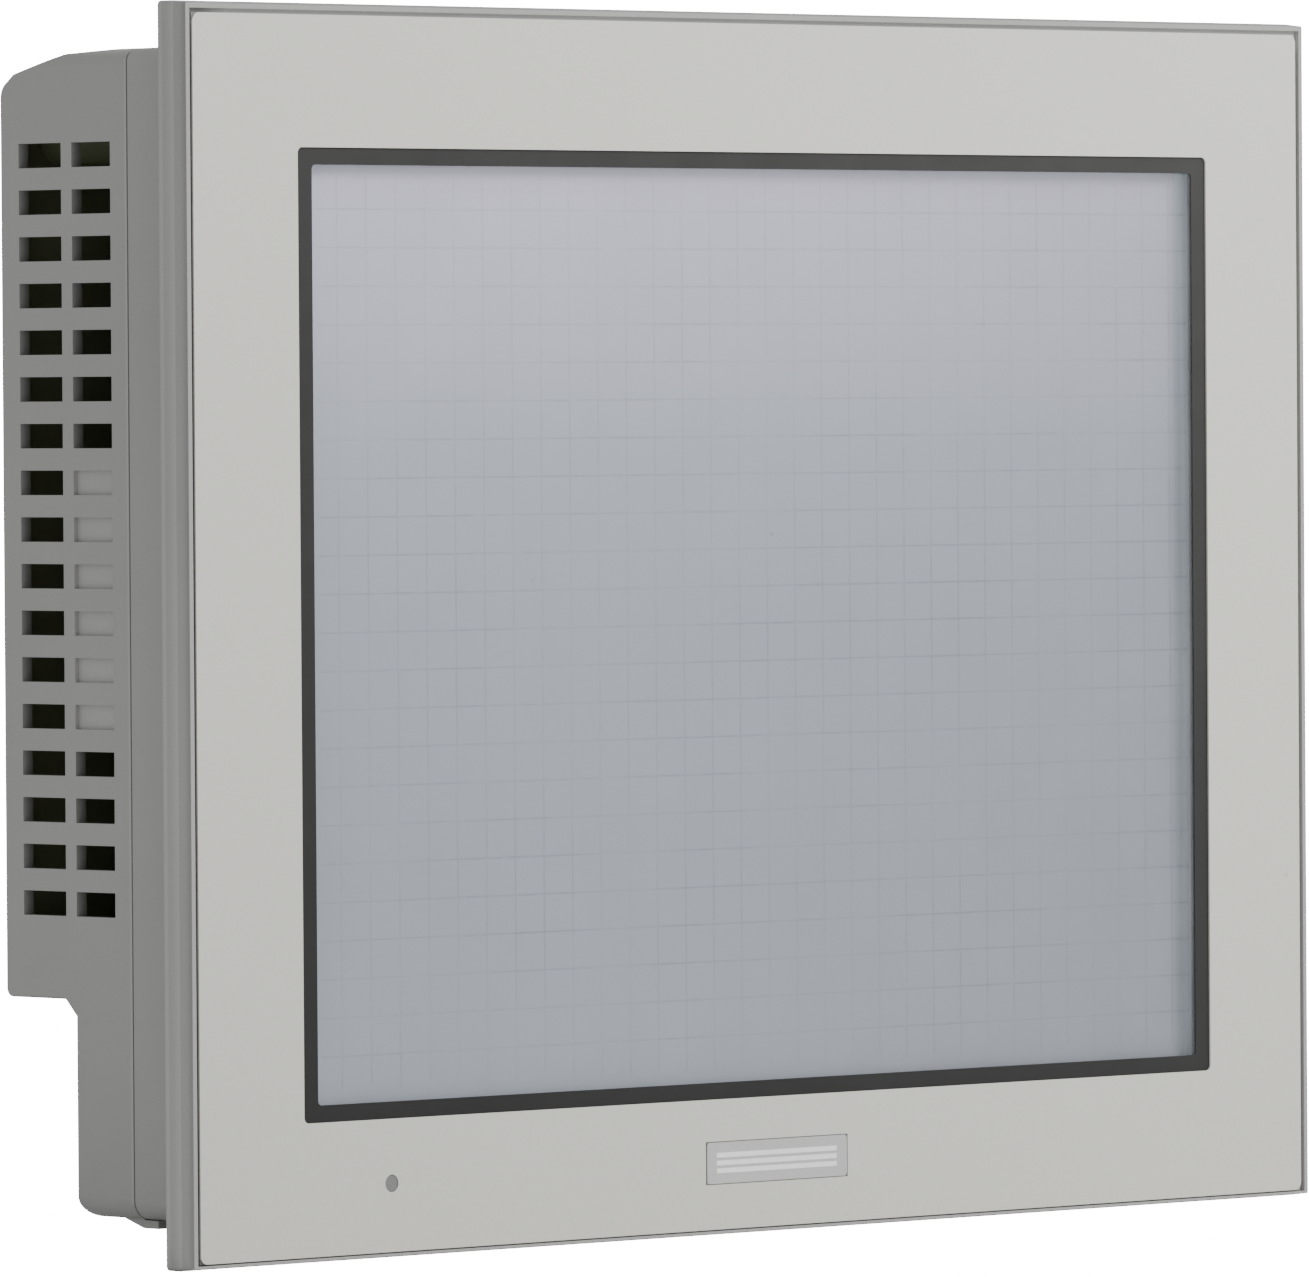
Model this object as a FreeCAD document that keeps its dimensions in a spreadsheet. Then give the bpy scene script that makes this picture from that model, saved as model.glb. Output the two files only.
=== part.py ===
import FreeCAD, Part
import math
import os
import re

import Sketcher

# A panel-mounted operator terminal with a resistive touch screen.
# Frame: +X right seen from the front, +Y into the cabinet, +Z up, millimetres.
# Origin: centre of the bezel's rear face, the plane that rests on the cabinet panel.

SIZES = {
    # front frame
    "panel_width": 270.5, "panel_height": 212.5, "bezel_depth": 6.5, "bezel_corner": 0.8,
    "bezel_draft": 0.45, "draft_depth": 3.9, "rim_inset": 1.35, "rim_low": 0.95, "recess_depth": 0.5,
    "groove_depth": 0.4, "body_width": 255.4, "body_height": 197.6, "top_corner": 2.5,
    "bottom_corner": 3.4, "frame_wall": 2.2, "seam_level": 16.8, "seam_gap": 0.35, "seam_inset": 0.4,
    "gasket_inset": 2.0, "gasket_width": 3.4, "gasket_depth": 2.0, "gasket_proud": 0.6, "pad_width": 3.8,
    "pad_length": 10.0, "pad_level": 60.0, "pad_play": 0.1, "pilot_bore": 1.8, "pilot_depth": 6.0,
    "clip_slot_at": 100.0, "clip_slot_width": 10.0, "clip_slot_start": 10.6, "clip_slot_depth": 4.6,
    # overlay, badge and lamp
    "sheet_inset": 2.1, "sheet_low": 1.2, "sheet_corner": 1.5, "sheet_thick": 0.35, "window_width": 219.4,
    "window_height": 164.3, "window_corner": 1.0, "window_at_z": -0.3, "view_width": 212.5,
    "view_height": 158.5, "view_corner": 0.8, "border_thick": 0.15, "badge_width": 34.1,
    "badge_height": 7.2, "badge_at_x": 0.95, "badge_at_z": -93.5, "badge_play": 0.15, "badge_thick": 0.3,
    "badge_corner": 0.8, "lamp_at_x": -89.9, "lamp_at_z": -93.4, "lamp_bore": 3.0, "lamp_play": 0.05,
    "lamp_head": 4.0, "lamp_head_thick": 1.0, "lamp_proud": 0.2,
    # touch panel stack
    "glass_width": 225.0, "glass_height": 170.0, "glass_play": 0.5, "film_thick": 0.2,
    "spacer_thick": 0.15, "spacer_inset": 1.5, "glass_thick": 1.1, "seal_thick": 0.3, "ledge_thick": 0.6,
    "ledge_width": 218.0, "ledge_height": 164.0, "tail_at_x": 68.0, "tail_width": 14.0,
    "tail_thick": 0.25, "tail_low": -95.0, "tail_slot_play": 1.0, "tail_slot_depth": 0.3,
    "tail_slot_below": 0.6, "tail_slot_above": 1.2, "tail_behind": 3.0, "tail_bend_z": -50.0,
    "tail_end_z": -46.0,
    # display module
    "lcd_width": 243.0, "lcd_height": 185.0, "lcd_depth": 10.5, "lcd_metal": 0.4, "lcd_skirt": 7.0,
    "lcd_window_width": 216.5, "lcd_window_height": 162.5, "shell_wall": 2.0, "shell_floor": 1.6,
    "cell_width": 236.0, "cell_height": 177.0, "cell_thick": 1.8, "guide_width": 234.0,
    "guide_height": 168.0, "lamp_tube": 3.0, "lamp_length": 228.0, "lamp_offset": 87.3,
    "lamp_behind": 3.0, "cable_width": 36.0, "cable_thick": 0.3, "cable_play": 2.0,
    "cable_slot_below": 1.0, "cable_start": 2.0, "cable_rise": 0.6, "cable_behind": 2.0,
    "cable_bend_z": 70.0, "cable_end_z": 64.0,
    # rear cover
    "cover_wall": 2.2, "cover_back": 49.5, "slope_run": 4.0, "slope_start": 33.0, "slope_drop": 0.6,
    "chamfer_end": 46.4, "chamfer_drop": 3.95, "back_drop": 6.2, "step_under": -62.0, "step_slope": 2.8,
    "lower_back": 31.1, "edge_round": 3.0, "low_round": 3.6, "side_round": 0.5, "hollow_run": 6.0,
    "hollow_drop": 2.4, "hollow_top_play": 0.3, "vent_top": 83.16, "vent_pitch": 7.93,
    "vent_height": 4.16, "vent_rows": 17, "vent_front_start": 21.0, "vent_front_length": 9.9,
    "vent_back_start": 33.65, "vent_back_length": 10.95, "blind_depth": 0.8, "blind_first": 7,
    "blind_rows": 6, "right_rows": 8, "top_vent_pitch": 9.0, "top_vent_width": 4.2, "top_vent_count": 21,
    "top_vent_start": 5.0, "top_vent_length": 10.0, "hook_at": 125.2, "hook_width": 8.4,
    "hook_reach": 3.4, "hook_drop": 1.5, "hook_flat": 0.3, "hook_ramp": 5.0, "hook_play": 0.1,
    "hook_root": 1.0, "hook_start": 0.2, "post_x": 116.0, "post_top_z": 84.0, "post_low_z": -88.0,
    "post_across": 6.0, "post_end": 26.0, "post_thread": 3.0, "post_bore_depth": 9.0,
    "cover_screw_bite": 8.0, "cover_screw_head": 5.5, "cover_screw_high": 2.4, "well_outer": 9.0,
    "well_bore": 6.6, "well_floor": 2.0, "well_overlap": 1.0, "screw_bore": 3.4, "screw_play": 0.3,
    "cross_depth": 0.5, "cross_length": 0.6, "cross_width": 0.7,
    # chassis and boards
    "plate_thick": 1.0, "plate_play": 0.4, "plate_corner": 6.0, "pad_screw_play": 0.2,
    "pad_screw_bite": 5.0, "pad_screw_head": 3.4, "pad_screw_high": 1.3, "board_front": 31.6,
    "board_thick": 1.6, "board_left": 113.5, "board_right": 118.0, "board_low": -58.8, "board_top": 78.0,
    "standoff_low_x": 70.0, "standoff_low_z": -38.0, "standoff_top_x": 108.0, "standoff_top_z": 70.0,
    "standoff_across": 6.0, "standoff_thread": 2.5, "standoff_bore_depth": 7.0, "board_bore": 3.2,
    "board_screw_bite": 6.0, "board_screw_head": 5.0, "board_screw_high": 1.8, "chip_at_x": -30.5,
    "chip_at_z": 29.5, "chip_width": 31.0, "chip_thick": 2.2, "heat_sink_width": 42.0,
    "heat_sink_base": 2.5, "fin_thick": 1.2, "fin_pitch": 4.53, "fin_height": 7.5, "fin_count": 10,
    "memory_at_x": -95.0, "memory_at_z": -11.0, "memory_pitch": 13.0, "memory_width": 10.0,
    "memory_length": 22.0, "memory_thick": 1.2, "can_at_x": -8.0, "can_at_z": -34.0, "can_pitch": 14.0,
    "can_across": 10.0, "can_high": 11.5, "battery_at_x": -80.0, "battery_at_z": 52.0,
    "battery_across": 20.0, "battery_thick": 3.2, "battery_play": 0.2, "holder_wall": 2.0,
    "holder_floor": 1.2, "holder_high": 5.2, "buzzer_at_x": -78.0, "buzzer_at_z": 22.0,
    "buzzer_across": 12.0, "buzzer_high": 8.5, "sound_bore": 2.4, "sound_depth": 1.5,
    "header_length": 60.0, "header_width": 7.5, "header_high": 9.0, "header_floor": 3.0,
    "header_slot_length": 54.0, "header_slot_width": 3.0, "inverter_at_x": -64.0, "inverter_at_z": -79.0,
    "inverter_width": 88.0, "inverter_height": 26.0, "inverter_feet": 3.0, "inverter_thick": 1.6,
    "foot_offset": 40.0, "foot_across": 5.0, "core_at_x": -73.0, "core_width": 30.0, "core_height": 18.0,
    "core_high": 11.0, "coil_width": 22.0, "coil_height": 22.0, "coil_lift": 2.0,
    # connectors that face down from the step
    "row_y": 40.0, "com_at_x": -56.0, "com_pitch": 42.0, "com_flange_width": 30.8,
    "com_flange_depth": 12.5, "com_flange_thick": 0.8, "com_mouth_width": 16.9, "com_mouth_depth": 8.3,
    "com_metal": 0.5, "com_taper": 0.35, "com_proud": 3.8, "com_play": 0.6, "com_core_width": 19.0,
    "com_core_high": 7.0, "com_foot_width": 26.0, "com_foot_thick": 2.0, "com_foot_lift": 3.0,
    "com_pin_pitch": 2.77, "com_row_offset": 1.42, "com_pin_across": 1.0, "com_pin_short": 0.7,
    "jack_spacing": 25.0, "jack_thread": 2.84, "jack_across": 5.0, "jack_bore": 2.3, "jack_length": 5.0,
    "jack_shank": 5.0, "jack_bore_depth": 6.0, "lan_at_x": 22.0, "lan_width": 16.0, "lan_depth": 13.4,
    "lan_mouth_width": 11.7, "lan_mouth_depth": 7.6, "lan_mouth_reach": 12.0, "lan_play": 0.2,
    "lan_proud": 1.0, "lan_height": 21.0, "lan_latch_width": 6.0, "lan_latch_depth": 1.6,
    "lan_contact_pitch": 1.02, "lan_contact_width": 0.45, "lan_contact_thick": 0.6,
    "lan_contact_lift": 2.0, "usb_at_x": 50.0, "usb_pitch": 20.0, "usb_width": 13.1, "usb_depth": 5.8,
    "usb_length": 14.0, "usb_metal": 0.4, "usb_play": 0.25, "usb_proud": 0.6, "usb_base": 3.0,
    "usb_tongue_width": 11.1, "usb_tongue_front": 2.0, "usb_tongue_back": 0.1, "usb_tongue_lift": 1.5,
    "power_at_x": -95.0, "power_pitch": 7.0, "power_width": 25.0, "power_depth": 11.0, "power_proud": 1.5,
    "power_height": 14.0, "power_wall": 1.2, "power_hollow": 10.0, "power_play": 0.4, "power_pin": 1.2,
    "power_pin_lift": 1.5, "plug_front": 4.6, "plug_back": 7.0, "plug_length": 15.0, "plug_gap": 0.4,
    "plug_bore": 2.4, "plug_bore_lift": 0.5, "terminal_drop": 6.0, "terminal_start": 2.5,
    "terminal_bore": 4.2, "terminal_seat": 4.2, "terminal_thread": 2.6, "terminal_bite": 1.7,
    "terminal_head": 4.0, "terminal_high": 1.4, "wire_hole_width": 3.4, "wire_hole_depth": 3.6,
    "wire_hole_offset": 0.6, "wire_hole_reach": 5.0,
    # card bay on the right side
    "bay_low": -57.0, "bay_high": 12.0, "bay_front": 29.5, "bay_back": 45.6, "door_thick": 2.0,
    "hinge_x": 126.6, "hinge_y": 31.3, "pin_across": 1.5, "pin_reach": 3.0, "notch_across": 9.0,
    "notch_depth": 1.2, "hinge_play": 0.05, "door_play": 0.35, "card_width": 43.0, "card_thick": 3.7,
    "card_at_z": -25.0, "card_at_y": 38.2, "slot_face_x": 119.0, "slot_length": 40.0, "slot_reach": 36.5,
    "slot_margin_low": 6.5, "slot_margin_high": 2.5, "slot_roof": 1.6, "eject_bore_reach": 20.0,
    "eject_bore_thick": 3.6, "eject_bore_width": 4.0, "eject_reach": 14.0, "eject_proud": 4.0,
    "eject_thick": 3.0, "eject_width": 3.4, "eject_at_z": -51.6, "dip_at_z": 5.0, "dip_pitch": 2.54,
    "dip_travel": 1.6, "dip_play": 0.1, "dip_margin": 1.2, "dip_depth": 6.0, "dip_high": 8.0,
    "dip_slot_reach": 2.5, "dip_slot_length": 4.0, "dip_slot_width": 1.6, "dip_knob_reach": 2.4,
    "dip_knob_proud": 0.8, "dip_knob_width": 1.3,
    # expansion opening in the rear face
    "expansion_at_x": 62.0, "expansion_at_z": 22.0, "expansion_width": 84.0, "expansion_height": 40.0,
    "lap_across": 6.0, "lap_up": 5.0, "lip_play": 0.3, "lip_wall": 1.5, "lip_depth": 1.5,
    "expansion_corner": 2.0, "expansion_thick": 1.0, "expansion_screw": 3.0, "expansion_screw_out": 2.9,
    "expansion_head": 0.7, "expansion_head_across": 4.4, "expansion_seat": 5.0,
    # rating label on the rear face
    "label_left": -100.0, "label_right": -25.0, "label_low": -40.0, "label_high": 5.0,
    "label_thick": 0.15,
}

# Counts of like pieces.
COM_PORTS = 2
USB_PORTS = 2
LAN_CONTACTS = 8
DIP_WAYS = 4
MEMORY_CHIPS = 4
CAPACITORS = 4
COM_ROWS = ((5, -1), (4, 1))
POWER_WAYS = (-1, 0, 1)
SIDES = (-1, 1)

# Millimetres that a cutting shape runs past a face, and that two joined shapes share.
OVER = 1
OVERLAP = 0.1

# Levels along +Y, each worked out from the layer in front of it.
RECESS = "(recess_depth - bezel_depth)"
BORDER_BACK = f"({RECESS} + border_thick)"
FILM_BACK = f"({BORDER_BACK} + film_thick)"
SPACER_BACK = f"({FILM_BACK} + spacer_thick)"
GLASS_BACK = f"({SPACER_BACK} + glass_thick)"
SEAL_BACK = f"({GLASS_BACK} + seal_thick)"
LCD_FRONT = f"({SEAL_BACK} + ledge_thick)"
LCD_BACK = f"({LCD_FRONT} + lcd_depth)"
PLATE_BACK = f"({LCD_BACK} + plate_thick)"
BOARD_BACK = "(board_front + board_thick)"
HALF_BODY = "(body_width / 2)"
BODY_TOP = "(body_height / 2)"
INNER_TOP = "(body_height / 2 - cover_wall)"
STEP_INSIDE = "(step_under + cover_wall)"
FLANGE_TOP = f"({STEP_INSIDE} + com_flange_thick)"
COM_LOW = "(step_under - com_proud)"
LAN_Y = f"({BOARD_BACK} + lan_depth / 2)"
POWER_Y = f"({BOARD_BACK} + power_depth / 2)"
PAD_X = f"({HALF_BODY} - frame_wall - pad_width / 2 - pad_play)"


def formula(text):
    """The text with each size's name turned into a reference to its spreadsheet cell."""
    text = str(text)
    return re.sub(r"[a-z_]+", lambda word: f"Sizes.{word[0]}" if word[0] in SIZES else word[0], text)


def value(text):
    """The number that a formula gives with the present sizes."""
    text = re.sub(r"[a-z_]+", lambda word: f"({SIZES[word[0]]})" if word[0] in SIZES else word[0],
                  str(text))
    return FreeCAD.Units.Quantity(text).Value


def bind(feature, name, text):
    """Ties a feature's property to a formula."""
    feature.setExpression(name, formula(text))


def make_sheet(doc):
    """The spreadsheet of sizes, one named cell each."""
    sheet = doc.addObject("Spreadsheet::Sheet", "Sizes")
    for row, (alias, size) in enumerate(SIZES.items(), start=1):
        sheet.set(f"A{row}", alias)
        sheet.set(f"B{row}", str(size))
        sheet.setAlias(f"B{row}", alias)
    doc.recompute()


# ---- Part Design helpers -------------------------------------------------------------------------

def new_body(doc, name):
    """An empty Part Design body."""
    body = doc.addObject("PartDesign::Body", name)
    body.Label = name
    return body


def new_sketch(body, role, level):
    """An empty sketch parallel to one of the body's origin planes, at a level along that plane's axis."""
    plane = next(feature for feature in body.Origin.OriginFeatures if feature.Role == role)
    sketch = body.newObject("Sketcher::SketchObject", f"{body.Name}_sketch")
    sketch.AttachmentSupport = [(plane, "")]
    sketch.MapMode = "FlatFace"
    sign = "-" if role == "XZ_Plane" else ""
    bind(sketch, "AttachmentOffset.Base.z", f"{sign}({level})")
    return sketch


def hold(sketch, kind, where, text):
    """Adds one dimension to a sketch and binds it to a formula."""
    index = sketch.addConstraint(Sketcher.Constraint(kind, *where, value(text)))
    sketch.setExpression(f"Constraints[{index}]", formula(text))


def hold_point(sketch, edge, end, x_text, y_text):
    """Places one end of an edge by its two distances from the sketch's origin."""
    hold(sketch, "DistanceX", (-1, 1, edge, end), x_text)
    hold(sketch, "DistanceY", (-1, 1, edge, end), y_text)


def draw_polygon(sketch, corners):
    """A closed outline through corners that are pairs of formulas."""
    points = [FreeCAD.Vector(value(x), value(y), 0) for x, y in corners]
    first = sketch.GeometryCount
    count = len(points)
    for number in range(count):
        sketch.addGeometry(Part.LineSegment(points[number], points[(number + 1) % count]))
    for number in range(count):
        following = first + (number + 1) % count
        sketch.addConstraint(Sketcher.Constraint("Coincident", first + number, 2, following, 1))
    for number, (x, y) in enumerate(corners):
        hold_point(sketch, first + number, 1, x, y)


def draw_rectangle(sketch, left, right, low, high):
    """A rectangle between two sides and two heights, all formulas."""
    draw_polygon(sketch, [(left, low), (right, low), (right, high), (left, high)])


def draw_rounded(sketch, left, right, low, high, low_radius, high_radius):
    """A rectangle whose low and high corners have their own radii, each arc tangent to its lines."""
    x0, x1, y0, y1, r0, r1 = (value(text) for text in (left, right, low, high, low_radius, high_radius))
    corners = ((x1 - r0, y0 + r0, r0, -90), (x1 - r1, y1 - r1, r1, 0), (x0 + r1, y1 - r1, r1, 90),
               (x0 + r0, y0 + r0, r0, 180))
    lines = (((x0 + r0, y0), (x1 - r0, y0)), ((x1, y0 + r0), (x1, y1 - r1)),
             ((x1 - r1, y1), (x0 + r1, y1)), ((x0, y1 - r1), (x0, y0 + r0)))
    first = sketch.GeometryCount
    for (start, end), (x, y, radius, angle) in zip(lines, corners):
        sketch.addGeometry(Part.LineSegment(FreeCAD.Vector(*start, 0), FreeCAD.Vector(*end, 0)))
        circle = Part.Circle(FreeCAD.Vector(x, y, 0), FreeCAD.Vector(0, 0, 1), radius)
        sketch.addGeometry(Part.ArcOfCircle(circle, math.radians(angle), math.radians(angle + 90)))
    for number in range(4):
        line, arc = first + 2 * number, first + 2 * number + 1
        following = first + (2 * number + 2) % 8
        sketch.addConstraint(Sketcher.Constraint("Tangent", line, 2, arc, 1))
        sketch.addConstraint(Sketcher.Constraint("Tangent", arc, 2, following, 1))
        sketch.addConstraint(Sketcher.Constraint(("Horizontal", "Vertical")[number % 2], line))
        hold(sketch, "Radius", (arc,), low_radius if number in (0, 3) else high_radius)
    for number, (kind, text) in enumerate((("DistanceY", low), ("DistanceX", right), ("DistanceY", high),
                                           ("DistanceX", left))):
        hold(sketch, kind, (-1, 1, first + 2 * number, 1), text)


def draw_circle(sketch, x, y, across):
    """A circle at a place, given its diameter."""
    centre = FreeCAD.Vector(value(x), value(y), 0)
    normal = FreeCAD.Vector(0, 0, 1)
    edge = sketch.addGeometry(Part.Circle(centre, normal, value(across) / 2))
    hold_point(sketch, edge, 3, x, y)
    hold(sketch, "Diameter", (edge,), across)


def add(body, sketch, length):
    """Adds the sketch's outline, extruded by a length towards plus along the sketch's axis."""
    pad = body.newObject("PartDesign::Pad", f"{body.Name}_pad")
    pad.Profile = sketch
    pad.Reversed = sketch.AttachmentSupport[0][0].Role == "XZ_Plane"
    bind(pad, "Length", length)
    body.Document.recompute([sketch, pad, body])
    return pad


def cut(body, sketch, length):
    """Removes the sketch's outline, extruded by a length towards plus along the sketch's axis."""
    before = body.Shape.Volume
    pocket = body.newObject("PartDesign::Pocket", f"{body.Name}_pocket")
    pocket.Profile = sketch
    pocket.Reversed = sketch.AttachmentSupport[0][0].Role != "XZ_Plane"
    bind(pocket, "Length", length)
    body.Document.recompute()
    if body.Shape.Volume >= before:
        raise RuntimeError(f"{body.Label}: a pocket removed nothing")
    return pocket


def add_box(body, across, along, up):
    """Adds a box between pairs of formulas along X, Y and Z."""
    sketch = new_sketch(body, "XZ_Plane", along[0])
    draw_rectangle(sketch, *across, *up)
    return add(body, sketch, f"({along[1]}) - ({along[0]})")


def cut_box(body, across, along, up):
    """Removes a box between pairs of formulas along X, Y and Z."""
    sketch = new_sketch(body, "XZ_Plane", along[0])
    draw_rectangle(sketch, *across, *up)
    return cut(body, sketch, f"({along[1]}) - ({along[0]})")


def repeat(body, feature, role, spacing, count):
    """Repeats a feature along one of the body's origin axes, at a spacing towards plus or minus."""
    axis = next(item for item in body.Origin.OriginFeatures if item.Role == role)
    pattern = body.newObject("PartDesign::LinearPattern", f"{body.Name}_pattern")
    pattern.Originals = [feature]
    pattern.Direction = (axis, [""])
    pattern.Reversed = value(spacing) < 0
    bind(pattern, "Length", f"abs({spacing}) * ({count} - 1)")
    bind(pattern, "Occurrences", count)
    body.Tip = pattern
    body.Document.recompute()
    return pattern


def edges_where(body, test):
    """The names of the body's straight edges whose end points pass a test."""
    names = []
    for number, edge in enumerate(body.Shape.Edges, start=1):
        if len(edge.Vertexes) == 2 and edge.Curve.TypeId == "Part::GeomLine":
            if test(edge.Vertexes[0].Point, edge.Vertexes[1].Point):
                names.append(f"Edge{number}")
    if not names:
        raise RuntimeError(f"{body.Label}: no edge matches")
    return names


def round_edges(body, test, radius):
    """Rounds the edges whose end points pass a test."""
    names = edges_where(body, test)
    fillet = body.newObject("PartDesign::Fillet", f"{body.Name}_fillet")
    fillet.Base = (fillet.BaseFeature, names)
    bind(fillet, "Radius", radius)
    body.Document.recompute()
    return fillet


def same(first, second):
    """True when two coordinates agree."""
    return abs(first - second) < 0.01


def runs_along_y(start, end):
    """True for an edge that runs from front to back."""
    return same(start[0], end[0]) and same(start[2], end[2])


def at_level(y):
    """A test for the edges along X or Z that lie in the plane at a level along Y."""
    return lambda start, end: same(start[1], value(y)) and same(end[1], value(y))


# ---- Part helpers --------------------------------------------------------------------------------

def block(doc, name, across, along, up):
    """A box between pairs of formulas along X, Y and Z."""
    box = doc.addObject("Part::Box", name)
    box.Label = name
    for size, axis, (low, high) in zip(("Length", "Width", "Height"), "xyz", (across, along, up)):
        bind(box, size, f"({high}) - ({low})")
        bind(box, f"Placement.Base.{axis}", low)
    return box


TURNS = {
    "x": FreeCAD.Rotation(FreeCAD.Vector(0, 1, 0), 90),
    "y": FreeCAD.Rotation(FreeCAD.Vector(1, 0, 0), -90),
    "z": FreeCAD.Rotation(),
}


def rod(doc, name, direction, start, length, across):
    """A cylinder from a start point, three formulas, towards plus along an axis."""
    cylinder = doc.addObject("Part::Cylinder", name)
    cylinder.Label = name
    cylinder.Placement = FreeCAD.Placement(FreeCAD.Vector(), TURNS[direction])
    for axis, text in zip("xyz", start):
        bind(cylinder, f"Placement.Base.{axis}", text)
    bind(cylinder, "Radius", f"({across}) / 2")
    bind(cylinder, "Height", length)
    return cylinder


def hexagon(doc, name, start, length, across_corners):
    """A hexagonal prism from a start point towards plus Z."""
    prism = doc.addObject("Part::Prism", name)
    prism.Label = name
    for axis, text in zip("xyz", start):
        bind(prism, f"Placement.Base.{axis}", text)
    bind(prism, "Circumradius", f"({across_corners}) / 2")
    bind(prism, "Height", length)
    return prism


def group(doc, name, pieces):
    """Separate solids in one node."""
    compound = doc.addObject("Part::Compound", name)
    compound.Label = name
    compound.Links = pieces
    return compound


def joined(doc, name, pieces):
    """Shapes fused into one solid."""
    fuse = doc.addObject("Part::MultiFuse", name)
    fuse.Label = name
    fuse.Shapes = pieces
    return fuse


def without(doc, name, base, tools):
    """The base with the tools cut out of it."""
    cutter = tools[0] if len(tools) == 1 else group(doc, f"{name}_tools", tools)
    difference = doc.addObject("Part::Cut", name)
    difference.Label = name
    difference.Base = base
    difference.Tool = cutter
    return difference


def centred(middle, size):
    """The pair of formulas on either side of a middle."""
    return f"{middle} - ({size}) / 2", f"{middle} + ({size}) / 2"


def slab(doc, name, width, height, front, back):
    """A box centred on the Y axis."""
    return block(doc, name, centred(0, width), (front, back), centred(0, height))


def ring(doc, name, outer, inner, front, back):
    """A rectangular ring centred on the Y axis; outer and inner are width and height pairs."""
    outside = slab(doc, f"{name}_outside", *outer, front, back)
    hole = slab(doc, f"{name}_hole", *inner, f"{front} - {OVER}", f"{back} + {OVER}")
    return without(doc, name, outside, [hole])


# ---- front frame ---------------------------------------------------------------------------------

def draw_body_outline(sketch, inset):
    """The case's outline seen from the front, its bottom corners rounder than its top ones."""
    half = f"({HALF_BODY} - {inset})"
    top = f"({BODY_TOP} - {inset})"
    draw_rounded(sketch, f"-{half}", half, f"-{top}", top, f"bottom_corner - {inset}",
                 f"top_corner - {inset}")


def bezel_block(doc):
    """The bezel's outer form: a rounded plate with a slight draft on the front part of its edge."""
    body = new_body(doc, "front_frame")
    add_box(body, centred(0, "panel_width"), ("-bezel_depth", "0"), centred(0, "panel_height"))
    round_edges(body, runs_along_y, "bezel_corner")
    chamfer = body.newObject("PartDesign::Chamfer", "front_frame_draft")
    chamfer.Base = (chamfer.BaseFeature, edges_where(body, at_level("-bezel_depth")))
    chamfer.ChamferType = "Two distances"
    bind(chamfer, "Size", "draft_depth")
    bind(chamfer, "Size2", "bezel_draft")
    doc.recompute()
    return body


def pad_places():
    """The four places where the chassis is screwed to the front frame."""
    return [(x, z) for x in (f"-{PAD_X}", PAD_X) for z in ("-pad_level", "pad_level")]


def front_frame(doc):
    """The moulded front: bezel, skirt, display seat, overlay recess, gasket groove and holes."""
    body = bezel_block(doc)
    skirt_end = "(seam_level - seam_gap)"
    for inset, start, end in (("0", "0", skirt_end), ("seam_inset", skirt_end, "seam_level")):
        sketch = new_sketch(body, "XZ_Plane", start)
        draw_body_outline(sketch, inset)
        add(body, sketch, f"{end} - {start}")
    sketch = new_sketch(body, "XZ_Plane", LCD_FRONT)
    draw_body_outline(sketch, "frame_wall")
    cut(body, sketch, f"seam_level - {LCD_FRONT}")
    for side in SIDES:
        outer = f"{side} * ({HALF_BODY} - frame_wall)"
        inner = f"{side} * ({HALF_BODY} - frame_wall - pad_width)"
        across = (outer, inner) if side < 0 else (inner, outer)
        for level in ("-pad_level", "pad_level"):
            add_box(body, across, (LCD_FRONT, LCD_BACK), centred(level, "pad_length"))
    cut_front_recess(body)
    cut_gasket_groove(body)
    cut_frame_holes(body)
    return [body]


def panel_area(inset, low_inset):
    """The sides and the heights of a rectangle inset from the bezel's outline, less so at the bottom."""
    across = (f"{inset} - panel_width / 2", f"panel_width / 2 - ({inset})")
    up = (f"{low_inset} - panel_height / 2", f"panel_height / 2 - ({inset})")
    return across, up


def draw_panel_area(sketch, inset, low_inset):
    """Draws that rectangle in a sketch."""
    across, up = panel_area(inset, low_inset)
    draw_rectangle(sketch, *across, *up)


def cut_front_recess(body):
    """The overlay's recess with a groove round it, then the glass pocket and the view opening."""
    across, up = panel_area("rim_inset", "rim_low")
    cut_box(body, across, ("-bezel_depth", RECESS), up)
    sketch = new_sketch(body, "XZ_Plane", RECESS)
    draw_panel_area(sketch, "rim_inset", "rim_low")
    draw_panel_area(sketch, "sheet_inset", "sheet_low")
    cut(body, sketch, "groove_depth")
    cut_box(body, centred(0, "(glass_width + 2 * glass_play)"), (RECESS, SEAL_BACK),
            centred(0, "(glass_height + 2 * glass_play)"))
    cut_box(body, centred(0, "ledge_width"), (SEAL_BACK, LCD_FRONT), centred(0, "ledge_height"))
    tail = centred("tail_at_x", "(tail_width + 2 * tail_slot_play)")
    floor = f"{SPACER_BACK} + tail_slot_depth"
    low = "tail_low - tail_slot_below"
    cut_box(body, tail, (RECESS, floor), (low, "-glass_height / 2 - glass_play"))
    cut_box(body, tail, (floor, LCD_FRONT), (low, "tail_low + tail_slot_above"))


def cut_gasket_groove(body):
    """The groove for the panel gasket, open at the bezel's rear face."""
    sketch = new_sketch(body, "XZ_Plane", "-gasket_depth")
    for inset in ("gasket_inset", "(gasket_inset + gasket_width)"):
        draw_panel_area(sketch, inset, inset)
    cut(body, sketch, "gasket_depth")


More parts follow.
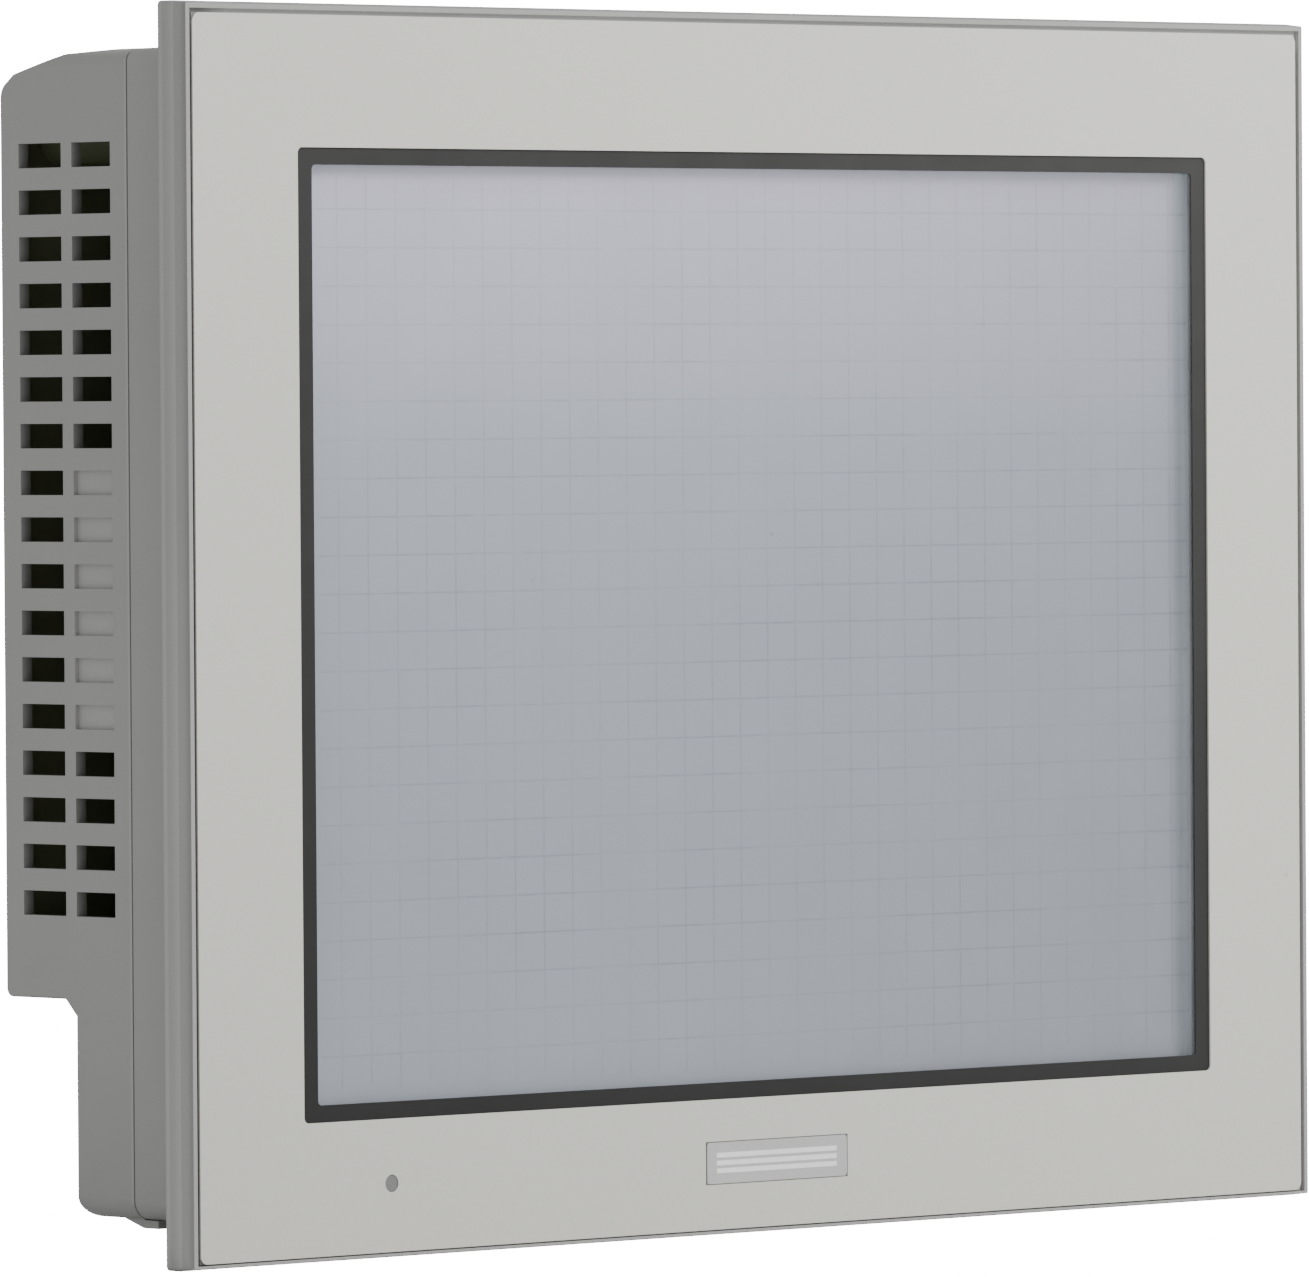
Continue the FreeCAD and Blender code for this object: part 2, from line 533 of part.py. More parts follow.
def cut_frame_holes(body):
    """The status lamp's hole, the chassis screws' pilot holes and the slots for the mounting clips."""
    sketch = new_sketch(body, "XZ_Plane", RECESS)
    draw_circle(sketch, "lamp_at_x", "lamp_at_z", "lamp_bore")
    cut(body, sketch, f"{LCD_FRONT} - {RECESS}")
    sketch = new_sketch(body, "XZ_Plane", f"{LCD_FRONT} - lamp_head_thick")
    draw_circle(sketch, "lamp_at_x", "lamp_at_z", "lamp_head + 2 * lamp_play")
    cut(body, sketch, "lamp_head_thick")
    sketch = new_sketch(body, "XZ_Plane", f"{LCD_BACK} - pilot_depth")
    for x, z in pad_places():
        draw_circle(sketch, x, z, "pilot_bore")
    cut(body, sketch, "pilot_depth")
    along = ("clip_slot_start", "clip_slot_start + clip_slot_depth")
    top_wall = (f"{BODY_TOP} - frame_wall - {OVER}", f"{BODY_TOP} + {OVER}")
    low_wall = (f"-{BODY_TOP} - {OVER}", f"-{BODY_TOP} + frame_wall + {OVER}")
    for wall in (top_wall, low_wall):
        for half in SIDES:
            cut_box(body, centred(f"{half} * clip_slot_at", "clip_slot_width"), along, wall)


def panel_gasket(doc):
    """A soft ring in the bezel's rear groove, standing a little proud of the rear face."""
    outer = ("(panel_width - 2 * gasket_inset)", "(panel_height - 2 * gasket_inset)")
    inner = ("(panel_width - 2 * gasket_inset - 2 * gasket_width)",
             "(panel_height - 2 * gasket_inset - 2 * gasket_width)")
    return [ring(doc, "panel_gasket", outer, inner, "-gasket_depth", "gasket_proud")]


def overlay(doc):
    """The printed overlay sheet with its window, the badge plate in it and the window's dark border."""
    body = new_body(doc, "front_sheet")
    front = f"({RECESS} - sheet_thick)"
    across, up = panel_area("sheet_inset", "sheet_low")
    add_box(body, across, (front, RECESS), up)
    round_edges(body, runs_along_y, "sheet_corner")
    cut_box(body, centred(0, "window_width"), (front, RECESS), centred("window_at_z", "window_height"))
    half = value("window_width") / 2
    round_edges(body, lambda start, end: runs_along_y(start, end) and same(abs(start[0]), half),
                "window_corner")
    cut_box(body, centred("badge_at_x", "(badge_width + 2 * badge_play)"), (front, RECESS),
            centred("badge_at_z", "(badge_height + 2 * badge_play)"))
    sketch = new_sketch(body, "XZ_Plane", front)
    draw_circle(sketch, "lamp_at_x", "lamp_at_z", "lamp_bore")
    cut(body, sketch, "sheet_thick")

    badge = new_body(doc, "badge_plate")
    add_box(badge, centred("badge_at_x", "badge_width"), (f"{RECESS} - badge_thick", RECESS),
            centred("badge_at_z", "badge_height"))
    round_edges(badge, runs_along_y, "badge_corner")

    border = new_body(doc, "window_border")
    add_box(border, centred(0, "glass_width"), (RECESS, BORDER_BACK), centred(0, "glass_height"))
    cut_box(border, centred(0, "view_width"), (RECESS, BORDER_BACK), centred("window_at_z", "view_height"))
    half_view = value("view_width") / 2
    round_edges(border, lambda start, end: runs_along_y(start, end) and same(abs(start[0]), half_view),
                "view_corner")
    return [body, badge, border]


def status_lamp(doc):
    """A lens pushed in from behind, with a small head sunk in the back of the bezel."""
    stem = rod(doc, "lamp_stem", "y", ("lamp_at_x", f"{RECESS} - lamp_proud", "lamp_at_z"),
               f"{LCD_FRONT} - {RECESS} + lamp_proud", "(lamp_bore - 2 * lamp_play)")
    head = rod(doc, "lamp_head_disc", "y", ("lamp_at_x", f"{LCD_FRONT} - lamp_head_thick", "lamp_at_z"),
               "lamp_head_thick", "lamp_head")
    return [joined(doc, "status_lamp_lens", [stem, head])]


# ---- touch panel and display ---------------------------------------------------------------------

def touch_panel(doc):
    """The touch film, its spacer, the glass and the dust seal, one behind the other."""
    size = ("glass_width", "glass_height")
    view = ("(view_width + 2 * spacer_inset)", "(view_height + 2 * spacer_inset)")
    ledge = ("ledge_width", "ledge_height")
    return [
        slab(doc, "touch_film", *size, BORDER_BACK, FILM_BACK),
        ring(doc, "touch_spacer", size, view, FILM_BACK, SPACER_BACK),
        slab(doc, "touch_glass", *size, SPACER_BACK, GLASS_BACK),
        ring(doc, "touch_dust_seal", size, ledge, GLASS_BACK, SEAL_BACK),
    ]


def strip(doc, name, middle, width, path):
    """A flat cable: a path of (y, z) formulas, given thickness by a second row of points."""
    body = new_body(doc, name)
    sketch = new_sketch(body, "YZ_Plane", f"{middle} - ({width}) / 2")
    draw_polygon(sketch, path)
    add(body, sketch, width)
    return body


def touch_tail(doc):
    """The film's tail: down inside the bezel, back past the display, up to the main board."""
    thick = "tail_thick"
    film_end = "-glass_height / 2"
    back = f"{PLATE_BACK} + tail_behind"
    path = [
        (BORDER_BACK, film_end), (BORDER_BACK, "tail_low"), (back, "tail_low"),
        ("board_front", "tail_bend_z"),
        ("board_front", "tail_end_z"), (f"board_front - {thick}", "tail_end_z"),
        (f"board_front - {thick}", f"tail_bend_z + {OVERLAP}"),
        (f"{back} - {thick}", f"tail_low + {thick}"),
        (f"{BORDER_BACK} + film_thick", f"tail_low + {thick}"), (f"{BORDER_BACK} + film_thick", film_end),
    ]
    return [strip(doc, "touch_tail", "tail_at_x", "tail_width", path)]


def display_cable(doc):
    """A flat cable over the top of the display module and back to the main board."""
    low = "lcd_height / 2"
    high = f"{low} + cable_rise"
    front, back = "cable_start", f"{PLATE_BACK} + cable_behind"
    path = [
        (front, low), (front, high), (back, high), ("board_front", "cable_bend_z"),
        ("board_front", "cable_end_z"), ("board_front - cable_thick", "cable_end_z"),
        ("board_front - cable_thick", "cable_bend_z - cable_thick"),
        (f"{back} - cable_thick", f"{high} - cable_thick"),
        (f"{front} + cable_thick", f"{high} - cable_thick"),
        (f"{front} + cable_thick", low),
    ]
    return [strip(doc, "display_cable", "0", "cable_width", path)]


def display_module(doc):
    """A metal-framed display: front frame, cell, light guide, two lamps and a rear shell."""
    lcd = ("lcd_width", "lcd_height")
    inner = ("(lcd_width - 2 * lcd_metal)", "(lcd_height - 2 * lcd_metal)")
    behind = f"({LCD_FRONT} + lcd_metal)"
    outside = slab(doc, "lcd_frame_outside", *lcd, LCD_FRONT, f"{LCD_FRONT} + lcd_skirt")
    inside = slab(doc, "lcd_frame_inside", *inner, behind, f"{LCD_FRONT} + lcd_skirt + {OVER}")
    window = slab(doc, "lcd_frame_window", "lcd_window_width", "lcd_window_height",
                  f"{LCD_FRONT} - {OVER}", f"{behind} + {OVER}")
    frame = without(doc, "lcd_frame", outside, [inside, window])

    cell_back = f"({behind} + cell_thick)"
    shell_front = slab(doc, "lcd_shell_outside", *inner, behind, LCD_BACK)
    hollow = slab(doc, "lcd_shell_hollow", "(lcd_width - 2 * lcd_metal - 2 * shell_wall)",
                  "(lcd_height - 2 * lcd_metal - 2 * shell_wall)", f"{behind} - {OVER}",
                  f"{LCD_BACK} - shell_floor")
    shell = without(doc, "lcd_rear_shell", shell_front, [hollow])
    cell = slab(doc, "lcd_cell", "cell_width", "cell_height", behind, cell_back)
    guide = slab(doc, "lcd_light_guide", "guide_width", "guide_height", cell_back,
                 f"{LCD_BACK} - shell_floor")
    lamps = []
    for number, level in enumerate(("-lamp_offset", "lamp_offset")):
        start = ("-lamp_length / 2", f"{cell_back} + lamp_behind", level)
        lamps.append(rod(doc, f"lamp_tube_{number}", "x", start, "lamp_length", "lamp_tube"))
    return [frame, shell, cell, guide, group(doc, "backlight_lamps", lamps)]


# ---- rear cover ----------------------------------------------------------------------------------

def cover_outline(body):
    """The cover's solid form: a rounded block trimmed by the sloping top and the stepped lower back."""
    sketch = new_sketch(body, "XZ_Plane", "seam_level")
    draw_body_outline(sketch, "0")
    add(body, sketch, "cover_back - seam_level")
    past = f"cover_back + {OVER}"
    above, below = f"{BODY_TOP} + {OVER}", f"-{BODY_TOP} - {OVER}"
    slope = [
        ("seam_level + slope_run", BODY_TOP), ("slope_start", f"{BODY_TOP} - slope_drop"),
        ("chamfer_end", f"{BODY_TOP} - chamfer_drop"), ("cover_back", f"{BODY_TOP} - back_drop"),
        (past, f"{BODY_TOP} - back_drop"), (past, above), ("seam_level + slope_run", above),
    ]
    step = [
        (past, "step_under"), ("lower_back + step_slope", "step_under"),
        ("lower_back", "step_under - step_slope"), ("lower_back", below), (past, below),
    ]
    for outline in (slope, step):
        sketch = new_sketch(body, "YZ_Plane", f"-{HALF_BODY} - {OVER}")
        draw_polygon(sketch, outline)
        cut(body, sketch, f"body_width + 2 * {OVER}")
    round_lower_edge(body)


def round_lower_edge(body):
    """Rounds the cover's rear bottom edge from side to side with one cut along X."""
    centre_y, centre_z = "(lower_back - low_round)", f"(low_round - {BODY_TOP})"
    past_y, past_z = f"lower_back + {OVER}", f"-{BODY_TOP} - {OVER}"
    corners = [("lower_back", centre_z), (past_y, centre_z), (past_y, past_z), (centre_y, past_z),
               (centre_y, f"-{BODY_TOP}")]
    points = [FreeCAD.Vector(value(y), value(z), 0) for y, z in corners]
    sketch = new_sketch(body, "YZ_Plane", f"-{HALF_BODY} - {OVER}")
    for number, (start, end) in enumerate(zip(points, points[1:])):
        sketch.addGeometry(Part.LineSegment(start, end))
        if number:
            sketch.addConstraint(Sketcher.Constraint("Coincident", number - 1, 2, number, 1))
    centre = FreeCAD.Vector(value(centre_y), value(centre_z), 0)
    circle = Part.Circle(centre, FreeCAD.Vector(0, 0, 1), value("low_round"))
    arc = sketch.addGeometry(Part.ArcOfCircle(circle, -math.pi / 2, 0))
    last = arc - 1
    sketch.addConstraint(Sketcher.Constraint("Coincident", last, 2, arc, 1))
    sketch.addConstraint(Sketcher.Constraint("Coincident", arc, 2, 0, 1))
    for number, (y, z) in enumerate(corners[:-1]):
        hold_point(sketch, number, 1, y, z)
    hold_point(sketch, last, 2, *corners[-1])
    hold(sketch, "Radius", (arc,), "low_round")
    cut(body, sketch, f"body_width + 2 * {OVER}")


def long_edge_at(y, z):
    """A test for an edge along X at a given height and depth."""
    def test(start, end):
        long_enough = abs(start[0] - end[0]) > value("body_width") / 2
        return long_enough and same(start[1], value(y)) and same(start[2], value(z))
    return test


def side_edge_at(y):
    """A test for the upright edges of the case's sides at a depth."""
    def test(start, end):
        upright = same(start[0], end[0]) and same(abs(start[0]), value(HALF_BODY))
        return upright and same(start[1], value(y)) and same(end[1], value(y))
    return test


def hollow_cover(body):
    """Three pockets of growing depth, so that the wall follows the slope at the top and the step."""
    low = f"-{INNER_TOP}"
    pockets = (
        ("lower_back - cover_wall", low, f"{INNER_TOP} - slope_drop"),
        ("slope_start + hollow_run", STEP_INSIDE, f"{INNER_TOP} - slope_drop - hollow_drop"),
        ("cover_back - cover_wall", STEP_INSIDE, f"{BODY_TOP} - back_drop - hollow_top_play"),
    )
    start = "seam_level"
    for end, bottom, top in pockets:
        inner = f"({HALF_BODY} - cover_wall)"
        cut_box(body, (f"-{inner}", inner), (start, end), (bottom, top))
        start = end


def cut_vents(body):
    """Two columns of vents on each side; part of the left front column is only recessed."""
    lengths = {"front": ("vent_front_start", "vent_front_length"),
               "back": ("vent_back_start", "vent_back_length")}
    through = f"(cover_wall + 2 * {OVER})"
    rest = "vent_rows - blind_first - blind_rows"
    left = f"-{HALF_BODY} - {OVER}"
    right = f"{HALF_BODY} + {OVER} - {through}"
    runs = (
        (left, through, "back", "0", "vent_rows"), (left, through, "front", "0", "blind_first"),
        (left, through, "front", "blind_first + blind_rows", rest),
        (left, f"blind_depth + {OVER}", "front", "blind_first", "blind_rows"),
        (right, through, "back", "0", "right_rows"), (right, through, "front", "0", "right_rows"),
    )
    for wall, depth, column, first_row, rows in runs:
        start, length = lengths[column]
        top = f"(vent_top - vent_pitch * ({first_row}))"
        sketch = new_sketch(body, "YZ_Plane", wall)
        draw_rectangle(sketch, start, f"{start} + {length}", f"{top} - vent_height", top)
        slot = cut(body, sketch, depth)
        repeat(body, slot, "Z_Axis", "-vent_pitch", rows)


def cut_top_vents(body):
    """A row of vents through the top wall."""
    sketch = new_sketch(body, "XY_Plane", f"{INNER_TOP} - slope_drop - {OVER}")
    first = "-top_vent_pitch * (top_vent_count - 1) / 2"
    draw_rectangle(sketch, *centred(f"({first})", "top_vent_width"), "seam_level + top_vent_start",
                   "seam_level + top_vent_start + top_vent_length")
    slot = cut(body, sketch, f"cover_wall + slope_drop + 2 * {OVER}")
    repeat(body, slot, "X_Axis", "top_vent_pitch", "top_vent_count")


def corner_places():
    """The places of the rear cover's four screws."""
    return [(x, z) for x in ("-post_x", "post_x") for z in ("post_low_z", "post_top_z")]


def add_screw_wells(body):
    """A counterbored tube behind each corner screw."""
    for level, wall in (("post_low_z", "lower_back"), ("post_top_z", "cover_back")):
        inside, past = f"{wall} - well_overlap", f"{wall} + {OVER}"
        steps = (("post_end", inside, "well_outer", add), ("post_end + well_floor", past, "well_bore", cut),
                 ("post_end", past, "screw_bore", cut))
        for start, end, across, action in steps:
            sketch = new_sketch(body, "XZ_Plane", start)
            for x, z in corner_places():
                if z == level:
                    draw_circle(sketch, x, z, across)
            action(body, sketch, f"{end} - ({start})")


def add_hooks(body):
    """Two ramped hooks under the case that reach forward over the skirt of the front frame."""
    base = f"-{BODY_TOP}"
    front, root = "seam_level - hook_reach", "seam_level + hook_start"
    ramp = [
        (front, f"{base} - hook_play"), (front, f"{base} - hook_drop"),
        ("seam_level + hook_flat", f"{base} - hook_drop"), ("seam_level + hook_ramp", base),
        ("seam_level + hook_ramp", f"{base} + hook_root"), (root, f"{base} + hook_root"),
        (root, f"{base} - hook_play"),
    ]
    for side in SIDES:
        sketch = new_sketch(body, "YZ_Plane", f"{side} * (hook_at - hook_width / 2) - hook_width / 2")
        draw_polygon(sketch, ramp)
        add(body, sketch, "hook_width")


def cut_step_openings(body):
    """Openings in the step's underside for the connectors, and holes for the jackscrews."""
    reach = f"cover_wall + 2 * {OVER}"
    openings = [("lan_at_x", "lan_width + 2 * lan_play", LAN_Y, "lan_depth + 2 * lan_play"),
                ("power_at_x", "power_width + 2 * lan_play", POWER_Y, "power_depth + 2 * lan_play")]
    for number in range(COM_PORTS):
        openings.append((com_x(number), "com_mouth_width + 2 * com_play", "row_y",
                         "com_mouth_depth + 2 * com_play"))
    for number in range(USB_PORTS):
        openings.append((usb_x(number), "usb_width + 2 * usb_play", "row_y", "usb_depth + 2 * usb_play"))
    sketch = new_sketch(body, "XY_Plane", f"step_under - {OVER}")
    for x, width, y, depth in openings:
        draw_rectangle(sketch, *centred(x, width), *centred(y, depth))
    cut(body, sketch, reach)
    sketch = new_sketch(body, "XY_Plane", f"step_under - {OVER}")
    for x in jack_places():
        draw_circle(sketch, x, "row_y", "jack_thread")
    cut(body, sketch, reach)


def cut_back_openings(body):
    """The expansion opening with its two screw holes, and the card bay with its hinge pin holes."""
    wall_inside = f"cover_back - cover_wall - {OVER}"
    cut_box(body, centred("expansion_at_x", "expansion_width"), (wall_inside, f"cover_back + {OVER}"),
            centred("expansion_at_z", "expansion_height"))
    sketch = new_sketch(body, "XZ_Plane", wall_inside)
    for side in SIDES:
        draw_circle(sketch, expansion_screw_x(side), "expansion_at_z", "expansion_screw")
    cut(body, sketch, f"cover_wall + 2 * {OVER}")
    sketch = new_sketch(body, "YZ_Plane", f"{HALF_BODY} - cover_wall - {OVER}")
    draw_rectangle(sketch, "bay_front", "bay_back", "bay_low", "bay_high")
    cut(body, sketch, f"cover_wall + 2 * {OVER}")
    sketch = new_sketch(body, "XY_Plane", "bay_low - pin_reach")
    draw_circle(sketch, "hinge_x", "hinge_y", "pin_across")
    cut(body, sketch, "bay_high - bay_low + 2 * pin_reach")
    sketch = new_sketch(body, "YZ_Plane", f"{HALF_BODY} - notch_depth")
    draw_circle(sketch, "bay_back", "(bay_low + bay_high) / 2", "notch_across")
    cut(body, sketch, f"notch_depth + {OVER}")


def rear_cover(doc):
    """The moulded rear cover with its vents, openings, screw wells and hooks."""
    body = new_body(doc, "rear_cover")
    cover_outline(body)
    round_edges(body, long_edge_at("cover_back", f"{BODY_TOP} - back_drop"), "edge_round")
    round_edges(body, long_edge_at("cover_back", "step_under"), "edge_round / 2")
    round_edges(body, side_edge_at("cover_back"), "side_round")
    hollow_cover(body)
    add_screw_wells(body)
    cut_vents(body)
    cut_top_vents(body)
    cut_step_openings(body)
    cut_back_openings(body)
    add_hooks(body)
    return [body]


def expansion_screw_x(side):
    """The place across of one of the expansion cover's two screws."""
    return f"expansion_at_x + {side} * (expansion_width / 2 + expansion_screw_out)"


def expansion_cover(doc):
    """The plate over the expansion opening, with a lip inside the opening and two screws."""
    body = new_body(doc, "expansion_cover")
    add_box(body, centred("expansion_at_x", "(expansion_width + 2 * lap_across)"),
            ("cover_back", "cover_back + expansion_thick"),
            centred("expansion_at_z", "(expansion_height + 2 * lap_up)"))
    round_edges(body, runs_along_y, "expansion_corner")
    sketch = new_sketch(body, "XZ_Plane", "cover_back - lip_depth")
    for inset in ("lip_play", "(lip_play + lip_wall)"):
        draw_rectangle(sketch, *centred("expansion_at_x", f"(expansion_width - 2 * {inset})"),
                       *centred("expansion_at_z", f"(expansion_height - 2 * {inset})"))
    add(body, sketch, "lip_depth")
    seat = "(cover_back + expansion_thick - expansion_head)"
    for start, across, length in (("cover_back", "expansion_screw + screw_play", "expansion_thick"),
                                  (seat, "expansion_seat", "expansion_head")):
        sketch = new_sketch(body, "XZ_Plane", start)
        for side in SIDES:
            draw_circle(sketch, expansion_screw_x(side), "expansion_at_z", across)
        cut(body, sketch, length)
    screws = [small_screw(doc, f"expansion_screw_{number}", expansion_screw_x(side), "expansion_at_z",
                          seat, f"{seat} - cover_back + cover_wall", "expansion_screw",
                          "expansion_head_across", "expansion_head")
              for number, side in enumerate(SIDES)]
    return [body, group(doc, "expansion_cover_screws", screws)]


def small_screw(doc, name, x, z, seat, grip, across, head_across, head_high):
    """A cross-recess screw along Y: shank in front of the seat, head behind it."""
    shank = rod(doc, f"{name}_shank", "y", (x, f"{seat} - ({grip})", z), grip, across)
    head = rod(doc, f"{name}_head", "y", (x, seat, z), head_high, head_across)
    whole = joined(doc, f"{name}_whole", [shank, head])
    depth = (f"{seat} + ({head_high}) * (1 - cross_depth)", f"{seat} + ({head_high}) + {OVER}")
    arm = f"cross_length * ({head_across})"
    bars = [block(doc, f"{name}_bar_across", centred(x, arm), depth, centred(z, "cross_width")),
            block(doc, f"{name}_bar_up", centred(x, "cross_width"), depth, centred(z, arm))]
    return without(doc, name, whole, [joined(doc, f"{name}_cross", bars)])


def rating_label(doc):
    """A thin label on the rear face."""
    return [block(doc, "rating_label", ("label_left", "label_right"),
                  ("cover_back", "cover_back + label_thick"),
                  ("label_low", "label_high"))]


# ---- chassis and boards --------------------------------------------------------------------------

def chassis(doc):
    """A steel plate behind the display, its screws, the cover's posts and the cover's screws."""
    body = new_body(doc, "chassis_plate")
    inside = "2 * (frame_wall + plate_play)"
    add_box(body, centred(0, f"(body_width - {inside})"), (LCD_BACK, PLATE_BACK),
            centred(0, f"(body_height - {inside})"))
    round_edges(body, runs_along_y, "plate_corner")
    sketch = new_sketch(body, "XZ_Plane", LCD_BACK)
    for x, z in pad_places():
        draw_circle(sketch, x, z, "pilot_bore + pad_screw_play")
    draw_rectangle(sketch, *centred(0, "(cable_width + 2 * cable_play)"),
                   "lcd_height / 2 - cable_slot_below",
                   "lcd_height / 2 + cable_play")
    draw_rectangle(sketch, *centred("tail_at_x", "(tail_width + 2 * cable_play)"),
                   "tail_low - tail_slot_below",
                   "tail_low + tail_slot_above")
    cut(body, sketch, "plate_thick")
    screws = [small_screw(doc, f"chassis_screw_{number}", x, z, PLATE_BACK, "plate_thick + pad_screw_bite",
                          "pilot_bore", "pad_screw_head", "pad_screw_high")
              for number, (x, z) in enumerate(pad_places())]
    return [body, group(doc, "chassis_screws", screws), cover_posts(doc), cover_screws(doc)]


def threaded_posts(doc, name, places, top, across, thread, depth):
    """Round posts on the chassis plate, each with a threaded bore in its far end."""
    posts = []
    for number, (x, z) in enumerate(places):
        post = rod(doc, f"{name}_post_{number}", "y", (x, PLATE_BACK, z), f"{top} - {PLATE_BACK}", across)
        bore = rod(doc, f"{name}_bore_{number}", "y", (x, f"{top} - {depth}", z), f"{depth} + {OVER}",
                   thread)
        posts.append(without(doc, f"{name}_{number}", post, [bore]))
    return group(doc, name, posts)


def cover_posts(doc):
    """Threaded posts on the chassis that take the rear cover's screws."""
    return threaded_posts(doc, "cover_posts", corner_places(), "post_end", "post_across", "post_thread",
                          "post_bore_depth")


def cover_screws(doc):
    """The four screws that hold the rear cover to its posts."""
    screws = [small_screw(doc, f"cover_screw_{number}", x, z, "post_end + well_floor",
                          "well_floor + cover_screw_bite", "post_thread", "cover_screw_head",
                          "cover_screw_high")
              for number, (x, z) in enumerate(corner_places())]
    return group(doc, "rear_cover_screws", screws)


def standoff_places():
    """The places of the main board's four stand-offs."""
    rows = (("standoff_low_x", "standoff_low_z"), ("standoff_top_x", "standoff_top_z"))
    return [(f"{side} * {x}", z) for x, z in rows for side in SIDES]


def main_board(doc):
    """The main board on four stand-offs, held by four screws."""
    board = block(doc, "main_board_blank", ("-board_left", "board_right"), ("board_front", BOARD_BACK),
                  ("board_low", "board_top"))
    holes = [rod(doc, f"board_hole_{number}", "y", (x, f"board_front - {OVER}", z),
                 f"board_thick + 2 * {OVER}", "board_bore")
             for number, (x, z) in enumerate(standoff_places())]
    supports = threaded_posts(doc, "board_standoffs", standoff_places(), "board_front", "standoff_across",
                              "standoff_thread", "standoff_bore_depth")
    screws = [small_screw(doc, f"board_screw_{number}", x, z, BOARD_BACK, "board_thick + board_screw_bite",
                          "standoff_thread", "board_screw_head", "board_screw_high")
              for number, (x, z) in enumerate(standoff_places())]
    return [without(doc, "main_board", board, holes), supports, group(doc, "board_screws", screws)]


def processor_parts(doc):
    """The processor with its finned heat sink, and a row of memory chips."""
    chip_back = f"({BOARD_BACK} + chip_thick)"
    chip = block(doc, "processor", centred("chip_at_x", "chip_width"), (BOARD_BACK, chip_back),
                 centred("chip_at_z", "chip_width"))
    body = new_body(doc, "heat_sink")
    left = "(chip_at_x - heat_sink_width / 2)"
    height = centred("chip_at_z", "heat_sink_width")
    fin_front = f"({chip_back} + heat_sink_base)"
    add_box(body, (left, f"{left} + heat_sink_width"), (chip_back, fin_front), height)
    fin = add_box(body, (left, f"{left} + fin_thick"), (fin_front, f"{fin_front} + fin_height"), height)
    repeat(body, fin, "X_Axis", "fin_pitch", "fin_count")
    chips = [block(doc, f"memory_chip_{number}", centred(f"memory_at_x + {number} * memory_pitch",
                                                         "memory_width"),
                   (BOARD_BACK, f"{BOARD_BACK} + memory_thick"), centred("memory_at_z", "memory_length"))
             for number in range(MEMORY_CHIPS)]
    return [chip, body, group(doc, "memory_chips", chips)]


def battery_parts(doc):
    """The clock's coin cell in a round holder."""
    floor = f"({BOARD_BACK} + holder_floor)"
    place = ("battery_at_x", BOARD_BACK, "battery_at_z")
    raised = ("battery_at_x", floor, "battery_at_z")
    holder = rod(doc, "battery_holder_body", "y", place, "holder_high", "battery_across + 2 * holder_wall")
    hollow = rod(doc, "battery_holder_hollow", "y", raised, "holder_high",
                 "battery_across + 2 * battery_play")
    battery = rod(doc, "backup_battery", "y", raised, "battery_thick", "battery_across")
    return [without(doc, "battery_holder", holder, [hollow]), battery]


def board_parts(doc):
    """Capacitors, the battery, the buzzer and the expansion connector."""
    cans = [rod(doc, f"capacitor_{number}", "y", (f"can_at_x + {number} * can_pitch", BOARD_BACK,
                                                  "can_at_z"),
                "can_high", "can_across")
            for number in range(CAPACITORS)]
    buzzer_can = rod(doc, "buzzer_can", "y", ("buzzer_at_x", BOARD_BACK, "buzzer_at_z"), "buzzer_high",
                     "buzzer_across")
    sound_start = f"{BOARD_BACK} + buzzer_high - sound_depth"
    sound_hole = rod(doc, "buzzer_hole", "y", ("buzzer_at_x", sound_start, "buzzer_at_z"),
                     f"sound_depth + {OVER}", "sound_bore")
    plug = block(doc, "expansion_connector_body", centred("expansion_at_x", "header_length"),
                 (BOARD_BACK, f"{BOARD_BACK} + header_high"), centred("expansion_at_z", "header_width"))
    slot = block(doc, "expansion_connector_slot", centred("expansion_at_x", "header_slot_length"),
                 (f"{BOARD_BACK} + header_floor", f"{BOARD_BACK} + header_high + {OVER}"),
                 centred("expansion_at_z", "header_slot_width"))
    return [group(doc, "capacitors", cans), *battery_parts(doc),
            without(doc, "buzzer", buzzer_can, [sound_hole]),
            without(doc, "expansion_connector", plug, [slot])]


def inverter(doc):
    """The backlight's inverter board, standing on the chassis on short feet, with its transformer."""
    front = f"({PLATE_BACK} + inverter_feet)"
    back = f"({front} + inverter_thick)"
    board = block(doc, "inverter_board_blank", centred("inverter_at_x", "inverter_width"), (front, back),
                  centred("inverter_at_z", "inverter_height"))
    feet = [rod(doc, f"inverter_foot_{number}", "y", (f"inverter_at_x + {side} * foot_offset", PLATE_BACK,
                                                      "inverter_at_z"), "inverter_feet", "foot_across")
            for number, side in enumerate(SIDES)]
    core = block(doc, "transformer_core", centred("core_at_x", "core_width"), (back, f"{back} + core_high"),
                 centred("inverter_at_z", "core_height"))
    coil = block(doc, "transformer_coil", centred("core_at_x", "coil_width"),
                 (f"{back} + coil_lift", f"{back} + core_high - coil_lift"),
                 centred("inverter_at_z", "coil_height"))
    return [joined(doc, "inverter_board", [board, *feet]),
            joined(doc, "inverter_transformer", [core, coil])]


# ---- connectors in the step ----------------------------------------------------------------------

def com_x(number):
    """The place across of one serial connector."""
    return f"(com_at_x + {number} * com_pitch)"


def usb_x(number):
    """The place across of one USB port."""
    return f"(usb_at_x + {number} * usb_pitch)"


def jack_places():
    """The places across of the serial connectors' locking posts."""
    return [f"{com_x(number)} + {side} * jack_spacing / 2" for number in range(COM_PORTS) for side in SIDES]


